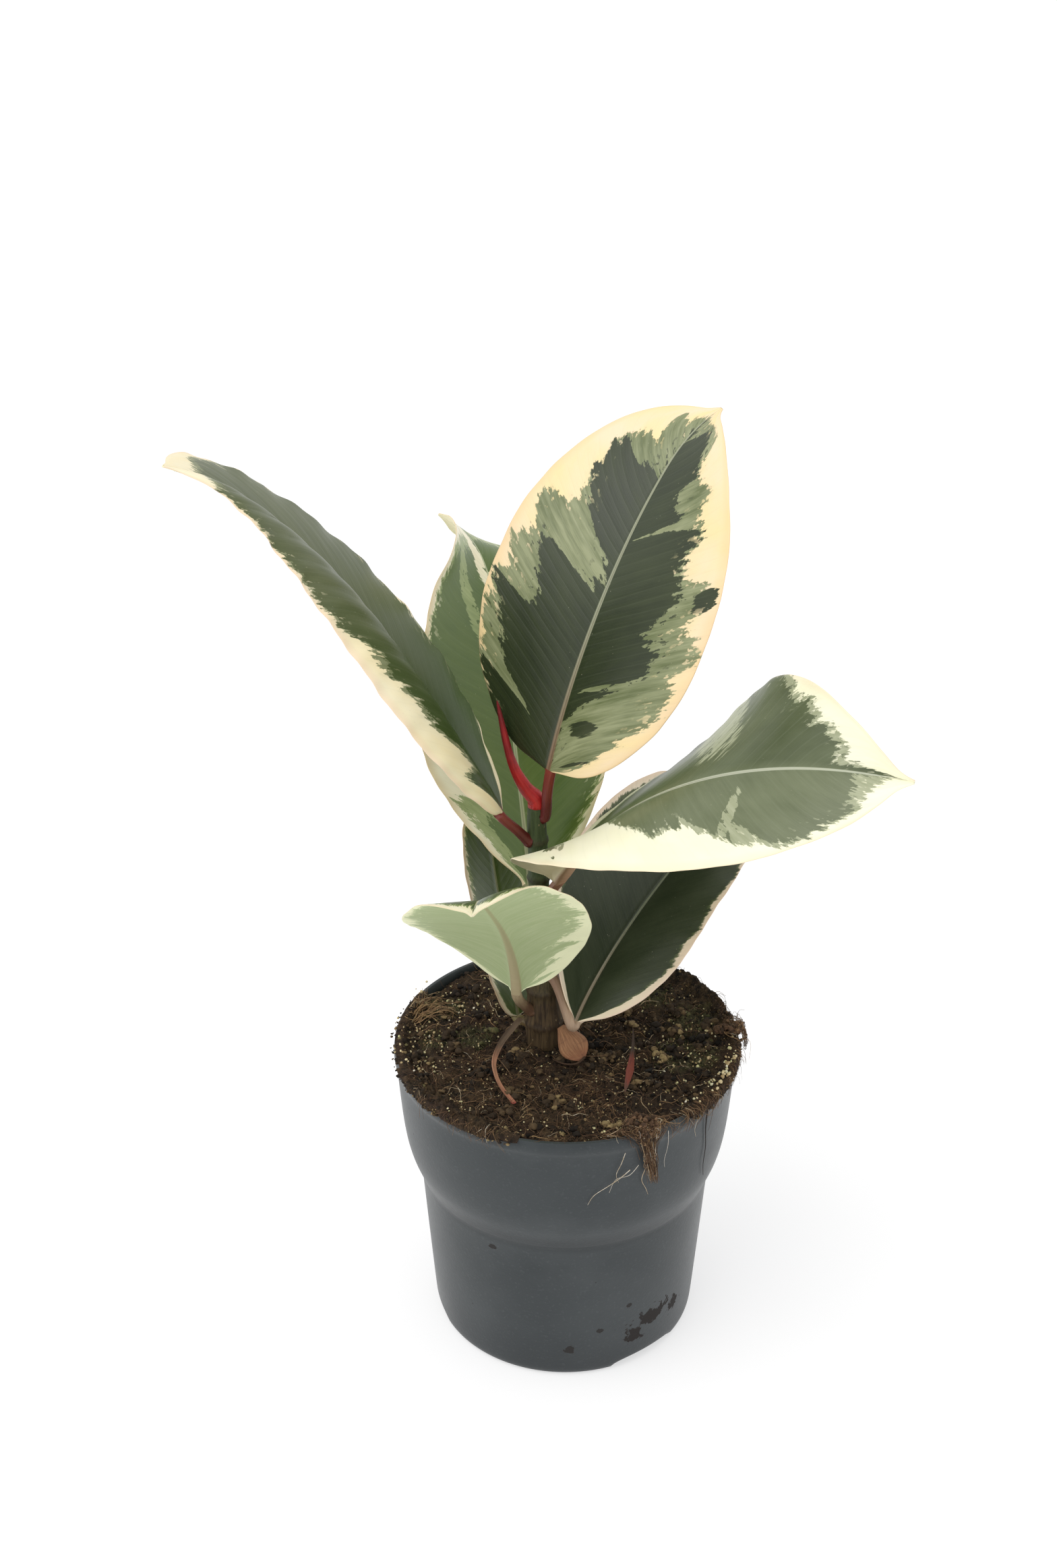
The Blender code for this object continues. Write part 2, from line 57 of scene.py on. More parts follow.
OUTLINE = [(0, .05), (.015, .30), (.05, .50), (.10, .66), (.20, .86), (.35, .985), (.50, 1.0),
           (.65, .93), (.80, .72), (.90, .46), (.95, .24), (.975, .10), (1.0, .015)]

LEAVES = {
    "leaf_top": dict(node=(202.0, -25), base=(-6.5, -2.5, 221.5), size=(132, 87), heading=(26, 41, 27),
                     rise=(78, 59, 46), roll=(-16, -6, -2), right=(4, 7, 17), left=(16, 11, 14),
                     curl=(-11, -9), crest=(0, 0), skew=1.08, nod=-18, turn=-2),
    "leaf_upper_left": dict(node=(193.0, 205), base=(-22.0, -2.5, 206.0), size=(169, 62), heading=(178, 178, 234),
                            rise=(61, 52, 35), roll=(-24, -32, -14), right=(37, 41, 45), left=(6, -12, 7),
                            curl=(-14, -59), crest=(0, 42), skew=1.11, nod=-8, turn=6),
    "leaf_back": dict(node=(160.0, 115), base=(-13.0, 18.0, 164.5), size=(141, 80), heading=(92, 113, 134),
                      rise=(21, 73, 36), roll=(-14, -1, -14), right=(-2, 16, -28), left=(19, 11, 23),
                      curl=(-23, 7), crest=(0, 0), skew=1.44, nod=-15, turn=28),
    "leaf_right": dict(node=(169.0, -50), base=(-3.5, -4.5, 181.5), size=(165, 70), heading=(-57, -43, -33),
                       rise=(56, 34, 3), roll=(-12, -15, -60), right=(46, -7, 14), left=(26, 0, 57),
                       curl=(-10, 4), crest=(0, 17), skew=0.99, nod=-2, turn=4),
    "leaf_lower_right": dict(node=(140.0, -38), start=-.35, base=(3.0, -10.5, 127.5), size=(110, 71), heading=(68, 45, 50),
                             rise=(22, 33, 12), roll=(0, 16, 0), right=(20, 12, 24), left=(66, 70, 56),
                             curl=(-17, 12), crest=(0, 0), skew=1.14, nod=27, turn=25),
    "leaf_front_small": dict(node=(126.0, 215), base=(-17.0, -9.5, 140.0), size=(99, 60), heading=(249, 258, 261),
                             rise=(83, 45, 51), roll=(-11, -13, -17), right=(22, 6, 11), left=(27, 12, 22),
                             curl=(-2, -27), crest=(0, 0), skew=1.08, nod=-49, turn=0),
    "leaf_back_left": dict(node=(116.0, 150), base=(-17.0, 8.0, 117.5), size=(84, 36), heading=(110, 108, 98),
                           rise=(64, 59, 55), roll=(-4, -10, -14), right=(-18, -16, -8), left=(34, 28, 8),
                           curl=(-5, 11), crest=(0, 0), skew=0.95, nod=3, turn=12),
}


# ------------------------------------------------------------------ small maths
def srgb(r, g, b):
    """Display colour 0..255 as the linear colour that shader sockets take."""
    out = []
    for c in (r, g, b):
        c = c / 255.0
        out.append(c / 12.92 if c <= 0.04045 else ((c + 0.055) / 1.055) ** 2.4)
    return (*out, 1.0)


def q3(a, t):
    return a[0] * (1 - t) * (1 - 2 * t) + 4 * a[1] * t * (1 - t) + a[2] * t * (2 * t - 1)


def sstep(t):
    t = np.clip(t, 0.0, 1.0)
    return t * t * (3 - 2 * t)


def table(tab, t):
    return np.interp(t, [p[0] for p in tab], [p[1] for p in tab])


def pchip(tab, t):
    """Smooth monotone curve through a table."""
    x = np.array([p[0] for p in tab], float)
    y = np.array([p[1] for p in tab], float)
    h = np.diff(x)
    d = np.diff(y) / h
    m = np.zeros_like(y)
    for i in range(1, len(x) - 1):
        if d[i - 1] * d[i] > 0:
            w1, w2 = 2 * h[i] + h[i - 1], h[i] + 2 * h[i - 1]
            m[i] = (w1 + w2) / (w1 / d[i - 1] + w2 / d[i])
    m[0], m[-1] = d[0], d[-1]
    t = np.clip(np.asarray(t, float), x[0], x[-1])
    i = np.clip(np.searchsorted(x, t, side="right") - 1, 0, len(x) - 2)
    s = (t - x[i]) / h[i]
    return (y[i] * (2 * s ** 3 - 3 * s ** 2 + 1) + m[i] * h[i] * (s ** 3 - 2 * s ** 2 + s)
            + y[i + 1] * (-2 * s ** 3 + 3 * s ** 2) + m[i + 1] * h[i] * (s ** 3 - s ** 2))


def unit(v):
    v = np.asarray(v, float)
    return v / np.maximum(np.linalg.norm(v, axis=-1, keepdims=True), 1e-12)


def stem_axis(z):
    t = (z - 112.0) / (STEM_TOP - 112.0)
    return np.array([STEM_XY[0] + STEM_LEAN[0] * t, STEM_XY[1] + STEM_LEAN[1] * t, z])


def stem_radius(z):
    r = float(table(STEM_R, z))
    for nz in NODE_Z:
        r += 0.35 * math.exp(-((z - nz) / 1.3) ** 2)
    return r


def soil_height(x, y):
    r = math.hypot(x, y)
    th = math.atan2(y, x)
    rs = math.hypot(x - STEM_XY[0], y - STEM_XY[1])
    h = SOIL_Z + 1.2 * math.exp(-(rs / 13.0) ** 2)
    edge = float(sstep((r - 30.0) / 28.0))
    h += edge * (0.5 + 0.9 * math.cos(th - math.radians(20)) + 0.4 * math.cos(3 * th + 0.6))
    h += 0.45 * math.sin(x * 0.13 + 0.4) * math.cos(y * 0.11 - 0.3)
    return h


def spline(pts, n):
    """n points of a Catmull-Rom curve through pts."""
    p = np.asarray(pts, float)
    k = len(p) - 1
    s = np.clip(np.linspace(0, k, n), 0, k - 1e-9)
    i = s.astype(int)
    f = (s - i)[:, None]
    a, b, c, d = p[np.maximum(i - 1, 0)], p[i], p[i + 1], p[np.minimum(i + 2, k)]
    return 0.5 * (2 * b + (c - a) * f + (2 * a - 5 * b + 4 * c - d) * f ** 2 + (3 * b - a - 3 * c + d) * f ** 3)


# ------------------------------------------------------------------ mesh making
def new_object(name, verts, faces, mats, attrs=None, face_mat=None, smooth=True, sharp=None):
    """verts in mm; attrs: {name: (n,) or (n, 3) array per vertex}."""
    me = bpy.data.meshes.new(name)
    me.from_pydata((np.asarray(verts, float) * MM).tolist(), [], faces)
    for m in mats:
        me.materials.append(m)
    if face_mat is not None:
        me.polygons.foreach_set("material_index", np.asarray(face_mat, np.int32))
    for key, val in (attrs or {}).items():
        val = np.asarray(val, np.float32)
        if val.ndim == 1:
            me.attributes.new(key, "FLOAT", "POINT").data.foreach_set("value", val)
        else:
            me.attributes.new(key, "FLOAT_VECTOR", "POINT").data.foreach_set("vector", val.ravel())
    me.update()
    if smooth:
        me.shade_smooth()
        if sharp:
            me.set_sharp_from_angle(angle=math.radians(sharp))
    ob = bpy.data.objects.new(name, me)
    bpy.context.scene.collection.objects.link(ob)
    return ob


def grid_faces(rows, n, start=0, close=True):
    out = []
    for i in range(rows - 1):
        a, b = start + i * n, start + (i + 1) * n
        for j in range(n if close else n - 1):
            k = (j + 1) % n
            out.append((a + j, a + k, b + k, b + j))
    return out


class Soup:
    """Many small closed bits gathered into one mesh with a tone per vertex."""

    def __init__(self):
        self.v, self.f, self.tone, self.n = [], [], [], 0

    def add(self, verts, faces, tone):
        self.v.append(np.asarray(verts, float))
        self.f.extend([tuple(i + self.n for i in f) for f in faces])
        self.tone.append(np.broadcast_to(np.asarray(tone, float), (len(verts),)))
        self.n += len(verts)

    def fibre(self, pts, r0, r1, tone, sides=4, n=None):
        pts = spline(pts, n or max(5, 3 * len(pts)))
        d = unit(np.gradient(pts, axis=0))
        ref = np.array([0.31, 0.17, 0.93])
        u = unit(np.cross(d, ref))
        w = np.cross(d, u)
        r = np.linspace(r0, r1, len(pts))[:, None]
        a = np.arange(sides) * 2 * math.pi / sides
        ringv = (pts[:, None, :] + u[:, None, :] * (r * np.cos(a))[..., None] + w[:, None, :] * (r * np.sin(a))[..., None])
        faces = grid_faces(len(pts), sides)
        last = (len(pts) - 1) * sides
        faces = [tuple(reversed(f)) for f in faces]
        faces.append(tuple(range(sides)))
        faces.append(tuple(reversed(range(last, last + sides))))
        self.add(ringv.reshape(-1, 3), faces, tone)

    def make(self, name, mat):
        return new_object(name, np.concatenate(self.v), self.f, [mat], {"tone": np.concatenate(self.tone)})


def rock_shapes(count, level, rough, seed):
    out = []
    for k in range(count):
        bm = bmesh.new()
        bmesh.ops.create_icosphere(bm, subdivisions=level, radius=1.0)
        v = np.array([x.co for x in bm.verts])
        f = [tuple(x.index for x in p.verts) for p in bm.faces]
        bm.free()
        s = np.array([1 + rough * noise.noise(Vector(p) * 1.7 + Vector((seed + 5.3 * k, 0, 0)))
                      + 0.5 * rough * noise.noise(Vector(p) * 4.1 + Vector((0, seed + 3.1 * k, 0))) for p in v])
        out.append((v * s[:, None], f))
    return out


def turn_matrix(r):
    q = np.array([r.gauss(0, 1) for _ in range(4)])
    w, x, y, z = q / np.linalg.norm(q)
    return np.array([[1 - 2 * (y * y + z * z), 2 * (x * y - z * w), 2 * (x * z + y * w)],
                     [2 * (x * y + z * w), 1 - 2 * (x * x + z * z), 2 * (y * z - x * w)],
                     [2 * (x * z - y * w), 2 * (y * z + x * w), 1 - 2 * (x * x + y * y)]])


# ------------------------------------------------------------------ shader graphs
class Graph:
    def __init__(self, name):
        self.m = bpy.data.materials.new(name)
        self.m.use_nodes = True
        self.t = self.m.node_tree
        self.b = self.t.nodes["Principled BSDF"]

    def node(self, kind, **kw):
        n = self.t.nodes.new("ShaderNode" + kind)
        for k, v in kw.items():
            setattr(n, k, v)
        return n

    def put(self, sock, val):
        if isinstance(val, bpy.types.NodeSocket):
            self.t.links.new(val, sock)
        else:
            sock.default_value = val

    def math(self, op, a, b=0.0, c=None, clamp=False):
        n = self.node("Math", operation=op, use_clamp=clamp)
        self.put(n.inputs[0], a)
        self.put(n.inputs[1], b)
        if c is not None:
            self.put(n.inputs[2], c)
        return n.outputs[0]

    def add(self, a, b):
        return self.math("ADD", a, b)

    def sub(self, a, b):
        return self.math("SUBTRACT", a, b)

    def mul(self, a, b):
        return self.math("MULTIPLY", a, b)

    def rng(self, x, a, b, c=0.0, d=1.0):
        n = self.node("MapRange", clamp=True)
        for i, v in enumerate((x, a, b, c, d)):
            self.put(n.inputs[i], v)
        return n.outputs[0]

    def mix(self, f, a, b):
        n = self.node("Mix", data_type="RGBA")
        self.put(n.inputs[0], f)
        self.put(n.inputs[6], a)
        self.put(n.inputs[7], b)
        return n.outputs[2]

    def lerp(self, f, a, b):
        return self.add(a, self.mul(f, self.sub(b, a)))

    def noise(self, vec, scale=1.0, detail=2.0, rough=0.5, dist=0.0):
        n = self.node("TexNoise")
        self.put(n.inputs["Vector"], vec)
        self.put(n.inputs["Scale"], scale)
        self.put(n.inputs["Detail"], detail)
        self.put(n.inputs["Roughness"], rough)
        self.put(n.inputs["Distortion"], dist)
        return n.outputs[0]

    def voronoi(self, vec, scale=1.0, feature="F1"):
        n = self.node("TexVoronoi", feature=feature)
        self.put(n.inputs["Vector"], vec)
        self.put(n.inputs["Scale"], scale)
        return n.outputs[0]

    def vec(self, x, y, z):
        n = self.node("CombineXYZ")
        for i, v in enumerate((x, y, z)):
            self.put(n.inputs[i], v)
        return n.outputs[0]

    def sep(self, v):
        n = self.node("SeparateXYZ")
        self.put(n.inputs[0], v)
        return n.outputs[0], n.outputs[1], n.outputs[2]

    def attr(self, name, vector=True):
        n = self.node("Attribute", attribute_name=name)
        return n.outputs[1] if vector else n.outputs[2]

    def place(self):
        return self.node("TexCoord").outputs["Object"]

    def curve(self, x, pts, straight=True):
        n = self.node("FloatCurve")
        c = n.mapping.curves[0]
        pts = sorted(pts)
        for i, (px, py) in enumerate(pts):
            if i < 2:
                p = c.points[i]
                p.location = (px, py)
            else:
                p = c.points.new(px, py)
            p.handle_type = "VECTOR" if straight else "AUTO_CLAMPED"
        n.mapping.update()
        self.put(n.inputs["Value"], x)
        return n.outputs[0]

    def bump(self, height, strength, distance):
        n = self.node("Bump")
        self.put(n.inputs["Strength"], strength)
        self.put(n.inputs["Distance"], distance)
        self.put(n.inputs["Height"], height)
        self.t.links.new(n.outputs[0], self.b.inputs["Normal"])

    def set(self, **kw):
        for k, v in kw.items():
            self.put(self.b.inputs[k.replace("_", " ")], v)
        return self.m


# ------------------------------------------------------------------ leaf patterns
# Every half blade has two borders, as shares of the way from midrib to margin at a height
# along the vein direction (-0.2 at the basal margin, 1 at the tip): inside D is the dark
# heart, from D to G the grey-green, outside G the pale margin.
SKINS = {
    "leaf_top": dict(
        seed=1.7, veins=34, teeth=(0.26, 0.20, 0.10),
        dark=((37, 46, 25), (55, 64, 36)), grey=((100, 110, 68), (154, 159, 120)), cream=((252, 227, 164), (253, 228, 192)),
        edge=(246, 210, 158), mid=((136, 104, 80), (164, 168, 140)), vein=(92, 100, 78),
        D_L=[(-.2, 1.1), (0, 1.0), (.02, .90), (.035, .42), (.05, .50), (.065, .72), (.10, .72), (.15, .80), (.20, .88), (.23, .97), (.25, .56),
             (.30, .50), (.34, .58), (.39, .72), (.42, .52), (.435, .10), (.50, .04), (.525, .12), (.55, .45), (.59, .62),
             (.65, .74), (.70, .62), (.725, .30), (.75, .26), (.77, .03), (1, 0)],
        G_L=[(-.2, 1.1), (.05, 1.0), (.15, .95), (.23, .97), (.27, .84), (.32, .95), (.36, .82), (.40, .80), (.44, .90),
             (.48, .85), (.51, .60), (.56, .60), (.62, .66), (.66, .74), (.72, .64), (.76, .55), (.78, .30), (.83, .55),
             (.86, .28), (.91, .20), (.95, .05), (1, 0)],
        D_R=[(-.2, 0), (.03, .02), (.12, .04), (.155, .16), (.17, .45), (.20, .60), (.26, .66), (.31, .50), (.36, .58),
             (.42, .66), (.46, .58), (.51, .62), (.53, .76), (.56, .60), (.585, .45), (.597, .10), (.61, .50), (.64, .36),
             (.68, .30), (.71, .50), (.76, .46), (.80, .55), (.84, .42), (.87, .06), (1, 0)],
        G_R=[(-.2, .55), (-.1, .62), (-.05, .72), (0, .76), (.05, .92), (.10, .95), (.17, .86), (.22, .95), (.28, .88),
             (.31, .78), (.35, .95), (.41, .90), (.44, .64), (.50, .62), (.53, .78), (.56, .66), (.60, .66), (.65, .76),
             (.68, .62), (.70, .50), (.74, .54), (.77, .76), (.80, .66), (.85, .48), (.90, .22), (.95, .05), (1, 0)],
        islands=[(.31, .078, .17, .022, -.10, "dark"), (.88, .37, .09, .035, 0, "dark"), (.50, -.055, .16, .008, -.05, "dark"),
                 (.42, .185, .30, .010, -.05, "grey")]),
    "leaf_upper_left": dict(
        seed=5.1, veins=30, low=(64, 82, 38), ribs=.10, shine=.25, teeth=(0.22, 0.16, 0.08),
        dark=((82, 91, 56), (102, 109, 76)), grey=((124, 131, 92), (148, 152, 118)), cream=((255, 238, 190), (255, 246, 214)),
        edge=(246, 216, 190), mid=((128, 78, 66), (120, 124, 100)), vein=(112, 118, 94),
        D_L=[(-.2, 0), (-.10, .08), (-.06, .30), (-.03, .72), (.0, .66), (.05, .28), (.09, .46), (.12, .64), (.16, .60), (.20, .62), (.25, .73),
             (.30, .70), (.33, .88), (.42, .96), (.50, .93), (.58, .94), (.66, .97), (.72, .94), (.78, .64), (.84, .30), (.90, .05), (1, 0)],
        G_L=[(-.2, .0), (-.10, .16), (-.06, .42), (-.03, .78), (.0, .72), (.05, .42), (.09, .58), (.12, .70), (.18, .67), (.22, .72), (.26, .82),
             (.30, .77), (.34, .93), (.45, .99), (.50, .95), (.58, .98), (.66, .97), (.72, .98), (.80, .62), (.86, .30), (.92, .05), (1, 0)],
        D_R=[(-.2, 0), (-.12, .30), (-.08, .60), (-.04, .92), (.0, 1.1), (.12, 1.1), (.18, .92), (.25, .97), (.40, 1.1), (.55, .98), (.65, .93),
             (.72, .78), (.80, .45), (.86, .18), (.91, .02), (1, 0)],
        G_R=[(-.2, .1), (-.12, .42), (-.08, .70), (-.04, 1.0), (.0, 1.1), (.12, 1.1), (.20, .95), (.25, 1.0), (.40, 1.1), (.55, 1.0), (.65, .96),
             (.72, .84), (.80, .52), (.86, .24), (.92, .04), (1, 0)],
        islands=[(-.30, .935, .08, .008, 0, "dark")]),
    "leaf_back": dict(
        seed=9.4, veins=32, teeth=(0.24, 0.20, 0.10),
        dark=((74, 98, 30), (92, 112, 46)), grey=((132, 148, 88), (160, 172, 114)), cream=((238, 226, 186), (250, 244, 216)),
        edge=(224, 196, 150), mid=((150, 150, 112), (186, 192, 152)), vein=(112, 132, 88),
        D_L=[(-.2, .5), (-.05, .55), (.0, .40), (.05, .65), (.10, .50), (.14, .30), (.20, .48), (.25, .62), (.32, .82), (.40, .96),
             (.50, .94), (.60, .90), (.66, .86), (.70, .80), (.74, .66), (.80, .40), (.86, .16), (.91, .02), (1, 0)],
        G_L=[(-.2, .8), (-.05, .78), (.0, .84), (.05, .90), (.10, .84), (.13, .40), (.18, .58), (.22, .74), (.27, .66), (.31, .92), (.40, .99),
             (.50, .95), (.60, .94), (.70, .88), (.76, .74), (.80, .56), (.86, .24), (.92, .04), (1, 0)],
        D_R=[(-.2, .6), (-.05, .70), (.0, .86), (.10, .93), (.30, .93), (.50, .90), (.70, .70), (.80, .40), (.88, .10), (1, 0)],
        G_R=[(-.2, .7), (-.05, .80), (.0, .92), (.10, .96), (.30, .96), (.50, .94), (.70, .86), (.80, .55), (.90, .15), (1, 0)],
        islands=[(-.41, .70, .24, .050, -.36, "grey"), (-.16, .86, .17, .085, -.45, "cream")]),
    "leaf_right": dict(
        # far: darker colours that paint shade onto the far half of the blade
        seed=13.2, veins=30, far=((72, 82, 50), (90, 100, 68)), teeth=(0.24, 0.20, 0.10),
        dark=((94, 103, 70), (114, 122, 90)), grey=((150, 156, 120), (174, 178, 146)), cream=((253, 250, 214), (255, 252, 226)),
        edge=(248, 226, 190), mid=((156, 130, 106), (196, 200, 176)), vein=(132, 140, 114),
        D_L=[(-.2, 0), (-.12, .20), (-.06, .60), (0, .86), (.08, .98), (.20, 1.1), (.48, 1.1), (.54, .92), (.58, .80), (.61, .70), (.64, .74),
             (.68, .58), (.72, .60), (.76, .40), (.79, .34), (.83, .12), (.88, .07), (.94, .02), (1, 0)],
        G_L=[(-.2, 0), (-.12, .30), (-.06, .72), (0, .92), (.08, 1.1), (.20, 1.1), (.50, 1.1), (.56, .95), (.60, .80), (.64, .82),
             (.69, .66), (.73, .66), (.77, .48), (.80, .42), (.84, .20), (.89, .12), (.93, .04), (1, 0)],
        D_R=[(-.2, 0), (.20, 0), (.25, .06), (.27, .24), (.30, .40), (.34, .44), (.37, .60), (.40, .50), (.445, .56), (.46, .40), (.49, .66),
             (.53, .72), (.545, .52), (.57, .62), (.59, .88), (.65, .88), (.70, .84), (.74, .78), (.79, .52), (.83, .32), (.86, .16), (.89, .03), (1, 0)],
        G_R=[(-.2, 0), (.20, 0), (.25, .16), (.28, .32), (.31, .44), (.34, .50), (.37, .64), (.40, .56), (.46, .56), (.50, .74),
             (.54, .80), (.57, .86), (.60, .95), (.65, .90), (.70, .88), (.74, .82), (.79, .64), (.83, .46), (.87, .34), (.90, .20), (.95, .05), (1, 0)],
        islands=[(-.92, .312, .64, .085, .30, "grey"), (-.07, .91, .09, .045, -.2, "dark"), (.48, .56, .24, .013, -.21, "grey"), (.56, .085, .20, .034, .05, "dark"), (.60, .118, .14, .020, .05, "grey"), (.88, .112, .030, .006, 0, "dark"),
                 (.29, .028, .040, .007, 0, "dark")]),
    "leaf_lower_right": dict(
        seed=17.9, veins=30, specks=.6, ribs=.06, teeth=(0.10, 0.09, 0.05), grit=.10, flakes=0.0,
        dark=((44, 53, 33), (60, 68, 46)), grey=((70, 82, 48), (90, 100, 64)), cream=((236, 218, 190), (244, 230, 206)),
        edge=(228, 200, 176), mid=((176, 158, 136), (120, 128, 104)), vein=(62, 72, 56),
        D_L=[(-.2, .30), (-.12, .62), (-.04, .84), (.1, .92), (.5, .92), (.75, .80), (.86, .40), (.94, .05), (1, 0)],
        G_L=[(-.2, .34), (-.12, .68), (-.04, .88), (.1, .95), (.5, .95), (.75, .84), (.86, .46), (.94, .08), (1, 0)],
        D_R=[(-.2, .10), (-.13, .44), (-.08, .72), (-.02, .86), (.08, .91), (.17, .88), (.24, .95), (.34, .90), (.42, .96), (.55, .93), (.7, .90), (.80, .66),
             (.88, .30), (.94, .05), (1, 0)],
        G_R=[(-.2, .14), (-.13, .48), (-.08, .78), (-.02, .90), (.08, .94), (.17, .91), (.24, .97), (.34, .93), (.42, .98), (.55, .96), (.7, .93), (.80, .70),
             (.88, .34), (.94, .08), (1, 0)],
        islands=[]),
    "leaf_front_small": dict(
        seed=23.3, veins=26, teeth=(0.30, 0.22, 0.12),
        dark=((50, 70, 22), (68, 88, 36)), grey=((108, 128, 62), (130, 148, 84)), cream=((236, 228, 188), (244, 236, 204)),
        edge=(226, 206, 168), mid=((150, 136, 104), (172, 170, 132)), vein=(84, 102, 60),
        D_L=[(-.2, .3), (-.10, .60), (-.06, .42), (-.02, .62), (.02, .56), (.06, .78), (.10, .50), (.16, .76), (.22, .80), (.28, .74), (.34, .84), (.42, .72),
             (.50, .78), (.60, .76), (.68, .86), (.76, .72), (.86, .40), (.93, .06), (1, 0)],
        G_L=[(-.2, .5), (-.10, .84), (-.07, .52), (-.02, .80), (.01, .64), (.05, .92), (.10, .60), (.15, .84), (.21, .90), (.27, .84), (.33, .94), (.42, .82),
             (.50, .86), (.60, .82), (.68, .93), (.76, .80), (.86, .46), (.93, .10), (1, 0)],
        D_R=[(-.2, .4), (-.08, .74), (.0, .90), (.10, .88), (.20, .82), (.30, .86), (.38, .76), (.46, .86), (.60, .84), (.70, .80), (.80, .60), (.90, .16), (1, 0)],
        G_R=[(-.2, .5), (-.08, .82), (.0, .97), (.10, .93), (.20, .90), (.30, .93), (.38, .84), (.46, .92), (.60, .92), (.70, .90), (.80, .68), (.90, .22), (1, 0)],
        islands=[]),
    "leaf_back_left": dict(
        seed=29.6, veins=24, teeth=(0.24, 0.16, 0.10),
        dark=((60, 82, 14), (80, 98, 30)), grey=((104, 118, 60), (128, 140, 84)), cream=((236, 222, 184), (244, 232, 200)),
        edge=(160, 118, 84), mid=((126, 120, 82), (150, 152, 110)), vein=(80, 92, 54),
        D_L=[(-.2, .4), (0, .80), (.2, .86), (.4, .80), (.6, .88), (.75, .78), (.88, .30), (1, 0)],
        G_L=[(-.2, .5), (0, .88), (.2, .93), (.4, .90), (.6, .94), (.75, .86), (.88, .36), (1, 0)],
        D_R=[(-.2, .4), (0, .82), (.2, .90), (.4, .84), (.6, .90), (.75, .80), (.88, .30), (1, 0)],
        G_R=[(-.2, .5), (0, .90), (.2, .95), (.4, .92), (.6, .95), (.75, .88), (.88, .36), (1, 0)],
        islands=[]),
}
PETIOLES = {
    "leaf_top": ((94, 20, 18), (134, 54, 40)), "leaf_upper_left": ((92, 30, 26), (138, 60, 50)),
    "leaf_back": ((96, 84, 54), (150, 148, 108)), "leaf_right": ((112, 56, 42), (168, 124, 96)),
    "leaf_lower_right": ((150, 120, 98), (186, 160, 134)), "leaf_front_small": ((112, 84, 64), (168, 150, 118)),
    "leaf_back_left": ((104, 86, 56), (140, 128, 88)),
}
UNDER = {
    "leaf_front_small": ((168, 184, 134), (184, 196, 152), (234, 236, 196)),
    "leaf_right": ((172, 180, 130), (188, 192, 144), (240, 226, 190)),
}


